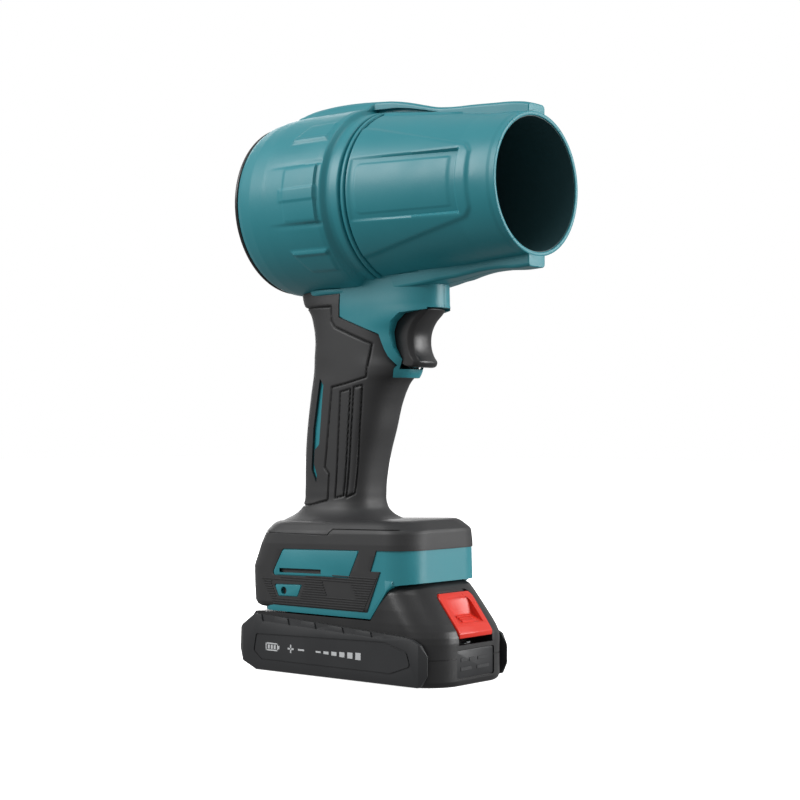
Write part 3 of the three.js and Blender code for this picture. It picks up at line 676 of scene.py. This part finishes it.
neck = {
    # z, rear x, front x, half width of the teal guard
    "stations": [(216, -46, 46.6, 16.2), (203, -46, 46.6, 16.6), (197, -44, 46.6, 16.9),
                 (190, -40, 46.0, 17), (184, -38.5, 34, 17), (176, -38.4, 31.4, 17), (170, -38.9, 30, 17),
                 (166.5, -39, 29, 16.9), (163.5, -39.4, 28.2, 16.2), (160, -39.8, 27.4, 14.5),
                 (157.5, -40.2, 26.2, 13)],
    "power": 2.7,
    "side": [(-12.0, 216), (-12.0, 191.7), (14.9, 181.3), (18.0, 173.2), (19.8, 169.6), (23.8, 164.6),
             (22, 163), (20, 158.2), (34.0, 158.2), (34.0, 163.6), (27.4, 165.8, 3), (22.2, 174.4, 6),
             (20.7, 182.2, 5), (22.8, 187.6, 4), (28.4, 192.0, 3), (46.6, 194.0, 1.0), (60, 196),
             (60, 216)],
}


def makeNeck():
    outline = rounded(neck["side"], 8)
    body = skinOf("neckGuard", 260, 170, gripPlace(0, False, neck), tealAbs, sharp=50)
    keep(body, prism("neckArea", outline, -40, 40))
    cut(body, triggerSlot())
    cut(body, prism("neckSeam", box(46.1, 190, 60, 216), -0.15, 0.15))
    settle(body, "housing", "teal_plastic")


makeNeck()

trigger = {
    "half": 9.2, "low": 163.4, "high": 194.2, "round": 1.3,
    # z and the x of the back, the ridge beside the finger face and the middle of that face
    "back": [(163.4, 31), (164.6, 27.6), (168, 21.2), (173.6, 15.4), (179, 12.8), (195, 12.6)],
    "face": [(163.4, 36.4), (166.4, 37.4), (169, 35.6), (173.2, 33.8), (178, 33.3), (183, 34.3),
             (188, 37.4), (191.5, 41.2), (194.2, 43.6)],
}


def makeTrigger():
    def place(u, v):
        z = trigger["low"] + (trigger["high"] - trigger["low"]) * v
        # Top and bottom draw in to a rounded edge.
        edge = np.minimum(z - trigger["low"], trigger["high"] - z) / trigger["round"]
        tuck = trigger["round"] * (1 - np.sqrt(1 - (1 - np.clip(edge, 0, 1)) ** 2))
        back = keyed(z, trigger["back"]) + tuck
        face = flowing(z, trigger["face"]) - tuck
        half = trigger["half"] - tuck
        ridge = np.maximum(face - 1.2, back)
        s = u * 4
        across = np.clip(s - 2, -1, 1)
        x = np.select([s < 1, s < 3],
                      [back + (ridge - back) * s, face - (face - ridge) * np.abs(across) ** 2.6],
                      ridge + (back - ridge) * np.clip((s - 3) / 0.8, 0, 1))
        y = np.select([s < 1, s < 3, s < 3.8], [-half, half * across, half], half * (1 - 10 * (s - 3.8)))
        # The finger face is a little narrower than the cheeks behind the ridge.
        y = y * (1 - 0.2 * ramp(x - ridge, -1.6, 3.2))
        return x, y, z

    blade = skinOf("triggerBlade", 160, 130, place, blackAbs, sharp=40)
    settle(blade, "trigger", "black_plastic", "trigger")


makeTrigger()
print("grip ready")

# ---------- base ----------

base = {
    # z, rear x, front x, half width, rear corner, front corner
    "stations": [(34.4, -65.8, 50, 30.8, 15, 16), (35.4, -67.0, 50, 32.2, 15.5, 16.5),
                 (37.4, -68.0, 49.6, 33, 16, 16.5), (46, -68.7, 49.2, 33, 16, 16.5),
                 (57, -69, 48.8, 33, 16, 16.5), (70, -64.2, 48.4, 33, 17, 16.5),
                 (75.6, -62.0, 48.2, 32.5, 18, 17), (77.0, -61.3, 47.8, 32.0, 18, 17.2),
                 (80.2, -59.7, 44.8, 29.8, 19, 18), (81.3, -58.7, 43.6, 28.6, 19, 18),
                 (82, -57, 42.2, 27, 18, 17.5)],
    "tilt": 1.75,
    "under": [(-80, 35.6), (-57, 34.4), (22.6, 34.4), (34.2, 48.6, 2), (37.0, 50.4, 2), (60, 53),
              (60, 95), (-80, 95)],
    "window": [(-38.5, 66.5, 2.2), (16.6, 67.9, 0.8), (9.2, 53.0, 0.8), (-47.0, 51.9, 1.6)],
    "slot": [(-41, 53.6, 0.2), (-10.6, 54.2, 0.2), (-10.6, 56.6, 0.2), (-41, 56.0, 0.2)],
    "hookPad": [(-45, 47.3, 1), (-24.0, 48.0, 0.8), (-27.4, 41.1, 0.8), (-41.6, 40.8, 0.8)],
    "hole": (-37.6, 44.0, 2.1),
    # A fine stepped line round the shoulder.
    "shoulderLine": [(-80, 74.4), (-6.4, 74.6), (-3.6, 77.9), (40, 78.8), (40, 79.3), (-3.8, 78.4),
                     (-6.7, 75.1), (-80, 74.9)],
    "frontTeal": [(28.1, 68.2), (24, 57.3), (30.6, 57.4), (21.8, 36.6), (21, 30), (80, 30), (80, 69.0)],
}


# A rounded oblong seen from above: u runs round it; the rear and the front corners have their own radius.
def roundPlan(u, rear, front, half, rearCorner, frontCorner):
    s = u * 8
    corner = np.clip(np.floor(s / 2), 0, 3).astype(int)
    t = s - 2 * corner

    def arc(index, angle):
        ahead = (index == 0) | (index == 3)
        r = np.where(ahead, frontCorner, rearCorner)
        x = np.where(ahead, front - r, rear + r) + r * np.cos(angle)
        y = np.where(index < 2, half - r, r - half) + r * np.sin(angle)
        return x, y

    quarter = math.pi / 2
    onX, onY = arc(corner, quarter * (corner + np.clip(t, 0, 1)))
    nextX, nextY = arc((corner + 1) % 4, quarter * (corner + 1))
    along = np.clip(t - 1, 0, 1)
    return onX + (nextX - onX) * along, onY + (nextY - onY) * along


def loftPlace(stations, inset=0, tilt=0):
    low, high = stations[0][0], stations[-1][0]

    def place(u, v):
        z = low + (high - low) * v
        rear, front, half, rearCorner, frontCorner = (keyed(z, [(s[0], s[column]) for s in stations])
                                                      for column in range(1, 6))
        x, y = roundPlan(u, rear + inset, front - inset, half - inset, rearCorner - inset,
                         frontCorner - inset)
        lean = ramp(z, (low + high) / 2, high - low) * tilt * (x + 10) / 58
        return x, y, z + lean - inset * (z > high - 6)

    return place


def baseForm(name, inset, material):
    form = skinOf(name, 128, 120, loftPlace(base["stations"], inset, base["tilt"]), material, sharp=32)
    return keep(form, prism("baseUnder", rounded(base["under"]), -60, 60))


# The y range between two distances from the middle, on one side.
def yBetween(side, near, far):
    return sorted((side * near, side * far))


def sideName(name, side):
    return name + ("Right" if side < 0 else "Left")


def sidePanel(name, side, outline, near, far, material, bevel=0.4):
    return prism(sideName(name, side), outline, *yBetween(side, near, far), material=material, bevel=bevel,
                 segments=2)


# The outline drawn in by the amount, with its corner radii kept.
def shrunk(corners, amount):
    count = len(corners)
    middle = sum((Vector(c[:2]) for c in corners), Vector((0, 0))) / count
    out = []
    for i, c in enumerate(corners):
        here, before, after = (Vector(corners[k % count][:2]) for k in (i, i - 1, i + 1))
        a = Vector((here.y - before.y, before.x - here.x)).normalized()
        b = Vector((after.y - here.y, here.x - after.x)).normalized()
        if a.dot(middle - here) < 0:
            a = -a
        if b.dot(middle - here) < 0:
            b = -b
        out.append((*(here + (a + b) * (amount / (1 + a.dot(b)))), *c[2:]))
    return out


def makeBase():
    cover = baseForm("baseCover", 0, softTpe)
    cuts = [prism("opening", rounded(outline), *yBetween(side, 31.2, 60))
            for side in sides for outline in (base["window"], base["hookPad"])]
    cuts.append(prism("opening", base["frontTeal"], -60, 60))
    cuts.append(cut(prism("shoulderLine", base["shoulderLine"], -60, 60),
                    baseForm("lineFloor", 0.45, softTpe)))
    cut(cover, *cuts)
    soften(cover, 0.5, 2, 50)
    settle(cover, "housing", "soft_rubber")
    core = baseForm("baseCore", 0.55, tealAbs)
    holeX, holeZ, radius = base["hole"]
    hole = [(holeX + radius * math.cos(math.pi * k / 16), holeZ + radius * math.sin(math.pi * k / 16))
            for k in range(32)]
    slot = rounded(base["slot"])
    for side in sides:
        deep = yBetween(side, 26, 40)
        for outline, kind in ((slot, "slot"), (hole, "hole")):
            cut(core, prism(kind, outline, *deep))
            # A black floor closes the opening from behind: painted shade that darkens the bottom of the
            # slot and the hole.
            floor = sidePanel(kind + "Floor", side, shrunk(outline, -0.6), 25.4, 26.2, blackAbs, 0)
            settle(floor, "housing", "black_plastic")
        panel = sidePanel("baseWindow", side, rounded(shrunk(base["window"], 0.45)), 31.4, 33.05, tealAbs)
        settle(cut(panel, prism("slot", slot, *deep)), "housing", "teal_plastic")
        pad = sidePanel("hookPad", side, rounded(shrunk(base["hookPad"], 0.4)), 31.4, 33.1, tealAbs)
        settle(cut(pad, prism("hole", hole, *deep)), "housing", "teal_plastic")
        makeRibs(side)
    settle(core, "housing", "teal_plastic")


# The ribbed lower band: height and x of the lines that the ribs end at.
band = {
    "low": 37.0, "pitch": 1.3, "count": 14, "shortest": 2, "deep": 0.9, "high": 0.62, "bevel": 0.2,
    "pad": (39.6, 49.4), "step": 50.0, "patch": (42.5, 51.2),
    "lines": {
        "left": [(36.4, -46.0), (50.4, -55.6)], "right": [(36.9, 21.4), (56.4, 31.2)],
        "padLeft": [(40.8, -43.2), (47.3, -46.6)], "padRight": [(41.1, -25.8), (48.0, -22.4)],
        "stepLeft": [(50.4, -56), (56.4, 31.2)],
        "patchLeft": [(42.5, -6.1), (51.2, -9.8)], "patchRight": [(42.5, 14.7), (51.2, 10.2)],
    },
}


def makeRibs(side):
    bm = bmesh.new()
    for k in range(band["count"]):
        z = band["low"] + k * band["pitch"]
        at = {key: float(keyed(z, line)) for key, line in band["lines"].items()}
        left, right = at["left"] + 1.2, at["right"] - 1.6
        spans = [(left, right)]
        if band["pad"][0] < z < band["pad"][1]:
            spans = [(left, at["padLeft"]), (at["padRight"], right)]
        if z > band["step"]:
            spans = [(max(at["stepLeft"] + 3, left), right)]
        if band["patch"][0] < z < band["patch"][1]:
            a, b = spans.pop()
            spans += [(a, at["patchLeft"]), (at["patchRight"], b)]
        for a, b in spans:
            if b - a < band["shortest"]:
                continue
            rib = bmesh.ops.create_cube(bm, size=1)["verts"]
            bmesh.ops.scale(bm, vec=(b - a, band["deep"], band["high"]), verts=rib)
            bmesh.ops.translate(bm, vec=((a + b) / 2, side * 33.0, z), verts=rib)
    outer = [e for e in bm.edges if all(abs(v.co.y) > 33.1 for v in e.verts)]
    bevelEdges(bm, outer, band["bevel"], 2)
    settle(toObject(sideName("bandRibs", side), bm, softTpe), "housing", "soft_rubber")


makeBase()


def makeSkirt():
    # The teal skirt that closes the base over the battery.
    outline = rounded([(-56, 32.7, 1), (23.6, 32.7), (35.0, 48.3), (38.0, 50.4), (38.0, 53), (30, 53),
                       (20, 37.5), (-60, 37.5, 1)])
    skirt = prism("baseSkirt", outline, -32.4, 32.4, material=tealAbs)
    plan = rounded([(-58, -32.4, 12), (44, -32.4, 3), (44, 32.4, 3), (-58, 32.4, 12)], 8)
    keep(skirt, prism("skirtPlan", plan, 20, 60, "Z"))
    cut(skirt, prism("railRoom", [(-70, 20), (80, 20), (80, 48.4), (-52, 48.4)], -22.7, 22.7))
    soften(skirt, 0.4, 2, 50)
    settle(skirt, "housing", "teal_plastic")


makeSkirt()
print("base ready")

# ---------- battery ----------

battery = {
    # z, rear x, front x, half width, rear corner, front corner
    "stations": [(0.02, -64.4, 65.8, 31.5, 7, 18), (0.9, -65.4, 66.9, 32.5, 8, 19),
                 (2.6, -66, 67.5, 33, 8, 19), (12, -66, 67.5, 33, 8, 19), (22, -66, 67.5, 33, 8, 19),
                 (25, -66, 67.3, 33, 8, 19.5), (28, -66, 65.9, 33, 8, 20), (31.5, -65, 63.4, 32.9, 8, 20),
                 (38, -65, 58.4, 32.4, 8, 20), (46, -65, 52.3, 31.4, 8, 20),
                 (49, -65, 49.8, 30.5, 8, 19.5), (50.6, -65, 47.4, 28.6, 8, 18.5),
                 (51.3, -65, 44.6, 26, 8, 17)],
    "over": [(-80, -3), (90, -3), (90, 60), (34, 60), (34.9, 48.3, 1), (24.0, 31.9), (-59, 31.9, 2),
             (-66, 25, 4), (-80, 15)],
    # Across and up: the button's face, wider at its lower lip.
    "buttonFace": [(-14, 46.6, 4), (14, 46.6, 4), (13.4, 21.6, 1.2), (-13.4, 21.6, 1.2)],
    "buttonRoom": [(-14.6, 47.2, 4.4), (14.6, 47.2, 4.4), (14, 18, 0.5), (-14, 18, 0.5)],
    "pocket": [(50.6, 62), (50.4, 44, 1), (50.2, 30, 1), (55.5, 18.4, 1), (65.2, 18.4, 0.4),
               (65.2, 20.8, 0.4), (80, 20.8), (80, 62)],
    "rail": [(-22.4, 44.4, 1), (22.4, 44.4, 1), (22.4, 38.6, 0.6), (18.0, 38.6), (18.0, 31), (-18, 31),
             (-18, 38.6), (-22.4, 38.6, 0.6)],
    # Plain raised bars on the front plate: y, z and width.
    "plateBars": [(-9.5, 13.2, 5), (-2.6, 13.2, 5), (5.6, 13.2, 7), (-7.6, 8.6, 9), (6.4, 8.6, 10)],
}


def makeBatteryCase():
    case = skinOf("batteryCase", 128, 130, loftPlace(battery["stations"]), blackAbs, sharp=40)
    keep(case, prism("caseOver", rounded(battery["over"]), -60, 60))
    room = keep(prism("buttonRoom", rounded(battery["pocket"]), -20, 20),
                prism("roomFace", rounded(battery["buttonRoom"]), 40, 90, "X"))
    cut(case, room, prism("plateRoom", rounded(box(-15.6, 3.8, 15.6, 18.6, 1.5)), 66.5, 80, "X"))
    # The seam between the two shells is a shallow groove all round.
    seam = prism("caseSeam", box(-80, 13.8, 80, 14.25), -60, 60)
    ring = rounded([(-65.5, -32.5, 8), (67, -32.5, 18.5), (67, 32.5, 18.5), (-65.5, 32.5, 8)], 16)
    cut(seam, prism("seamRoom", ring, 0, 40, "Z"))
    cut(case, seam)
    settle(case, "battery", "black_plastic", "battery_upper_case", "battery_lower_case")
    rail = prism("slideRail", rounded(battery["rail"]), -50, 20, "X", blackAbs)
    gates = [prism("bladeGate", box(-60, 37.4, -26, 50), y - 1.6, y + 1.6) for y in (-9, 9)]
    cut(rail, *gates)
    soften(rail, 0.4, 2)
    settle(rail, "battery", "black_plastic")
    outline = rounded(box(-15.2, 4.2, 15.2, 18.2, 1.4))
    plate = prism("frontPlate", outline, 64.5, 66.9, "X", blackPlate, 0.3, 2)
    settle(plate, "battery", "black_plastic")
    for k, (y, z, wide) in enumerate(battery["plateBars"]):
        outline = box(y - wide / 2, z - 0.9, y + wide / 2, z + 0.9)
        mark = prism("plateBar%d" % k, outline, 66.8, 67.2, "X", blackPlate, 0.12, 1)
        settle(mark, "battery", "black_plastic")


makeBatteryCase()

sidePlate = {
    "outline": [(-56.9, 30.7, 2), (46.3, 25.6, 2), (53.5, 24.7, 2), (58.8, 22.2, 2), (62.6, 16.6, 2),
                (62.6, 7.0, 2), (58.6, 0.8, 2), (-56, 0.4, 2), (-66.1, 4.4, 2), (-69.2, 10.7, 2),
                (-68.5, 22.8, 2)],
    # From above: the face narrows in a long slope to the front and a short one to the rear.
    "plan": [(-69.4, 33.3), (62.8, 33.3), (62.8, 33.6, 0.5), (58.0, 35.5, 1), (-66, 35.5, 1),
             (-69.4, 34.2, 0.5)],
    "panel": [(-56.1, 19.9, 1.5), (-58, 10.5, 1.5), (-51.5, 5.6, 1.5), (39.7, 5.8, 1.5),
              (53.5, 10.6, 1.5), (50.9, 18.4, 1.5), (36.3, 22.3, 1.5)],
    "notches": (-47, -27.5, -8, 11.5, 31),
    # Generic marks, as middle x, z, width and height: a battery outline with its bars, a plus, a minus
    # and a charge line.
    "marks": [(-44, 15.2, 9, 0.7), (-44, 11.6, 9, 0.7), (-48.3, 13.4, 0.7, 4.2), (-39.8, 13.4, 0.7, 4.2),
              (-38.9, 13.4, 1, 1.8)]
             + [(x, 13.4, 1.4, 2.2) for x in (-46.3, -44.1, -41.9)]
             + [(-30, 13.4, 4.4, 0.9), (-30, 13.4, 0.9, 4.4), (-22.4, 13.4, 4.4, 0.9)]
             + [(-10 + 5.6 * k, 13.4, 3.6, 0.9 + 0.55 * k) for k in range(6)],
}


def makeSidePlate(side):
    body = sidePanel("batteryPlate", side, rounded(sidePlate["outline"]), 33.3, 35.6, blackPlate, 0)
    # The mirrored plan runs the other way round.
    plan = [(x, side * y) for x, y in rounded(sidePlate["plan"])][::side]
    keep(body, prism("platePlan", plan, -5, 40, "Z"))
    notches = []
    for x in sidePlate["notches"]:
        top = 28.6 - (x + 47) * 0.035
        notch = [(x - 5.6, top + 3), (x - 4.2, top - 2.0, 0.6), (x + 4.2, top - 2.2, 0.6),
                 (x + 5.6, top + 3)]
        notches.append(prism("notch", rounded(notch), *yBetween(side, 34.7, 40)))
    line = prism("grooveOuter", rounded(sidePlate["panel"]), *yBetween(side, 35.05, 40))
    cut(line, prism("grooveInner", rounded(shrunk(sidePlate["panel"], 0.9)), *yBetween(side, 30, 45)))
    cut(body, *notches)
    soften(body, 0.45, 2, 25)
    cut(body, line)
    settle(body, "battery", "black_plastic", "side_plate_right" if side < 0 else "side_plate_left")
    bm = bmesh.new()
    for x, z, wide, high in sidePlate["marks"]:
        cube = bmesh.ops.create_cube(bm, size=1)["verts"]
        bmesh.ops.scale(bm, vec=(wide, 0.12, high), verts=cube)
        bmesh.ops.translate(bm, vec=(x, side * 35.52, z), verts=cube)
    settle(toObject(sideName("plateMarks", side), bm, greyInk), "battery", "black_plastic")


for side in sides:
    makeSidePlate(side)


button = {
    # Seen from the side.
    "outline": [(50.8, 45.0, 0.8), (52.6, 46.3, 0.8), (65.6, 29.8, 2), (67.8, 26.6, 1.2),
                (67.5, 24.1, 0.5), (65.4, 24.4, 0.4), (64.4, 24.6), (57.0, 24.6), (52.2, 32), (50.9, 40)],
    "scoop": [(53.0, 60), (54.6, 42.6, 1.5), (57.6, 34.6, 2), (64.2, 31.0, 1), (80, 36)],
    # Seen from the front.
    "scoopFace": [(-9.8, 43.6, 3), (9.8, 43.6, 3), (10.2, 28.6, 2.5), (-10.2, 28.6, 2.5)],
    "ribs": 3, "ribHalf": 5.6,
}


def makeButton():
    body = keep(prism("releaseButton", rounded(button["outline"]), -20, 20, material=redPc),
                prism("buttonFace", rounded(battery["buttonFace"]), 40, 90, "X"))
    cut(body, keep(prism("scoop", rounded(button["scoop"]), -20, 20),
                   prism("scoopFace", rounded(button["scoopFace"]), 40, 90, "X")))
    soften(body, 0.5, 3, 30)
    for k in range(button["ribs"]):
        x, z = 58.8 + 1.7 * k, 34.2 - 0.93 * k
        rib = [(x, z - 0.8), (x + 0.9, z - 1.2), (x + 0.9, z + 0.3), (x + 0.1, z + 0.6)]
        fuse(body, prism("buttonRib", rib, -button["ribHalf"], button["ribHalf"]))
    settle(body, "button", "red_plastic", "release_button")


makeButton()
print("battery ready")

# ---------- intake grille, duct, fan and motor behind the mouth ----------


def roundBar(x0, x1, low, high, edge=0.5):
    return rounded(box(x0, low, x1, high, edge), 3)


def makeGrille():
    rim = spun("grilleRim", roundBar(-61.8, -59.8, 42.6, 47, 0.6), blackAbs, 128)
    settle(rim, "housing", "black_plastic", "intake_grille")
    collar = spun("grilleSpigot", roundBar(-60.2, -54.2, 42.6, 44.3), blackAbs, 96)
    settle(collar, "housing", "black_plastic")
    for k, radius in enumerate((34.4, 26.2, 18.0)):
        ring = spun("grilleRing%d" % k, roundBar(-61.7, -59.3, radius, radius + 1.7), blackAbs, 96)
        settle(ring, "housing", "black_plastic")
    dome = [(-61.9, 0), (-62.0, 4), (-61.8, 9.0), (-61.3, 10), (-59.2, 10), (-59.0, 0)]
    settle(spun("grilleHub", dome, blackAbs, 64, closed=False), "housing", "black_plastic")
    for k in range(12):
        bm = bmesh.new()
        verts = bmesh.ops.create_cube(bm, size=1)["verts"]
        bmesh.ops.scale(bm, vec=(2.2, 1.7, 34.6), verts=verts)
        bmesh.ops.translate(bm, vec=(-60.4, 0, 26.4), verts=verts)
        bevelEdges(bm, bm.edges[:], 0.4, 2)
        aroundBarrel(bm, k * math.pi / 6)
        settle(toObject("grilleSpoke%d" % k, bm, blackAbs), "housing", "black_plastic")


makeGrille()


# Gives a sheet its wall and turns it to its place round the barrel.
def makeBlade(bm, wall, turn):
    bmesh.ops.solidify(bm, geom=bm.faces[:], thickness=wall)
    bmesh.ops.recalc_face_normals(bm, faces=bm.faces)
    aroundBarrel(bm, turn)


def makeDuct():
    wall = [(-46, 46, 0.6), (-44, 46, 0.6), (-42.4, 41, 1), (20, 41, 0.4), (20, 39, 0.6), (-41, 39, 4),
            (-46, 42, 1)]
    settle(spun("ductTube", rounded(wall), blackAbs, 128), "housing", "black_plastic", "fan_duct")
    settle(spun("motorCan", roundBar(-12, 20, 15, 17), blackAbs, 96), "housing", "black_plastic")
    for k in range(8):
        bm = bmesh.new()
        bmesh.ops.create_grid(bm, x_segments=16, y_segments=1, size=0.5)
        for v in bm.verts:
            t = v.co.x + 0.5
            swirl = 0.16 * (1 - t) ** 2
            r = 27.8 + v.co.y * 22.8
            v.co = (-9 + 23 * t, r * math.sin(swirl), r * math.cos(swirl))
        makeBlade(bm, 1.5, math.radians(22.5 + 45 * k))
        settle(toObject("guideVane%d" % k, bm, blackAbs), "housing", "black_plastic")
    cone = [(20.3, 0), (20.3, 16.9)] + [(20.8 + 38.2 * math.sin(t), 17 * math.cos(t) ** 0.9) for t in
                                       np.linspace(0, math.pi / 2 - 0.02, 24)] + [(59.1, 0)]
    settle(spun("tailCone", cone, blackAbs, 96, closed=False), "housing", "black_plastic", "tail_cone")


makeDuct()


def makeRotor():
    hub = [(-36, 2.2), (-36, 8.6)] + [(-36 + 11 * math.sin(t), 8.6 + 6.4 * math.sin(t) ** 0.8) for t in
                                     np.linspace(0.2, math.pi / 2, 10)] + [(-15.4, 15), (-15, 14.6),
                                                                           (-15, 2.2)]
    settle(spun("fanHub", hub, blackAbs, 96), "rotor", "black_plastic", "impeller")
    blades = 9
    for k in range(blades):
        bm = bmesh.new()
        bmesh.ops.create_grid(bm, x_segments=14, y_segments=16, size=0.5)
        for v in bm.verts:
            along, out = v.co.x, v.co.y + 0.5
            r = 14.2 + 23.8 * out
            twist = math.radians(52 - 22 * out)
            chord = 23 - 3 * out
            camber = 0.10 * chord * (1 - (2 * along) ** 2)
            x = -25.5 + along * chord * math.cos(twist) - camber * math.sin(twist)
            turn = (along * chord * math.sin(twist) + camber * math.cos(twist)) / max(r, 17)
            v.co = (x, r * math.sin(turn), r * math.cos(turn))
        makeBlade(bm, 1.3, 2 * math.pi * k / blades)
        settle(toObject("fanBlade%d" % k, bm, blackAbs), "rotor", "black_plastic")
    nut = [(-36.3, 2.2), (-36.3, 7.6), (-39, 7.2), (-43.5, 5.4), (-46.4, 2.6), (-47.2, 0), (-44.3, 0),
           (-44.3, 2.2)]
    settle(spun("spinnerNut", nut, turnedBrass, 64, closed=False), "rotor", "brass", "spinner_nut")


makeRotor()
print("fan ready")

# ---------- screws ----------

screws = {
    # x, z and how far out the head sits; then x and y on the underside
    "housing": [(38, 204, 11), (2, 199.6, 12.5), (-2, 148, 13), (-12, 104, 12.5), (-54, 62, 22),
                (38, 66, 22)],
    "battery": [(-60.4, -22), (-60.4, 22), (56, -16), (56, 16)],
}


def screwForm(name, headRadius, shankRadius, headHigh, length):
    line = [(0, -length), (shankRadius * 0.4, -length), (shankRadius, -length + 1.4), (shankRadius, 0),
            (headRadius - 0.2, 0), (headRadius, 0.25), (headRadius, headHigh * 0.55),
            (headRadius * 0.8, headHigh * 0.9), (0, headHigh)]
    bm = spinLine([(r, 0, z) for r, z in line], (0, 0, 1), 40, False)
    body = toObject(name, bm, turnedSteel)
    arms = [prism("crossCut", box(-a, -b, a, b), headHigh - 1.0, headHigh + 2, "Z")
            for a, b in ((headRadius * 0.62, 0.42), (0.42, headRadius * 0.62))]
    return cut(body, *arms)


def makeScrews():
    for k, (x, z, head) in enumerate(screws["housing"]):
        screw = screwForm("housingScrew%d" % (k + 1), 3, 1.5, 1.9, head + 9)
        screw.data.transform(Matrix.Translation((x, head, z)) @ Matrix.Rotation(-math.pi / 2, 4, "X"))
        settle(screw, "housing", "steel", "housing_screw_%d" % (k + 1))
    for k, (x, y) in enumerate(screws["battery"]):
        screw = screwForm("batteryScrew%d" % (k + 1), 2.6, 1.3, 1.3, 15)
        screw.data.transform(Matrix.Translation((x, y, 1.9)) @ Matrix.Rotation(math.pi, 4, "X"))
        settle(screw, "battery", "steel", "battery_screw_%d" % (k + 1))


makeScrews()

# ---------- inner CAD nodes keep their shape and get real finishes ----------

finishes = [
    (copperWire, ("motor_stator",)),
    (turnedSteel, ("rotor_magnet", "motor_shaft", "rear_bearing", "front_bearing", "trigger_spring",
                   "latch_spring")),
    (blackAbs, ("motor_end_cap", "switch_body", "terminal_block", "contact_block")),
    (boardMask, ("control_board", "battery_board")),
    (turnedBrass, ("terminal_blade_", "hook_insert_")),
    (wireCover, ("motor_lead_", "switch_lead_")),
    (cellWrap, ("cell_",)),
]
for nodeName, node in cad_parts.items():
    for material, starts in finishes:
        if nodeName.startswith(starts) and node.type == "MESH":
            node.data.materials.clear()
            node.data.materials.append(material)
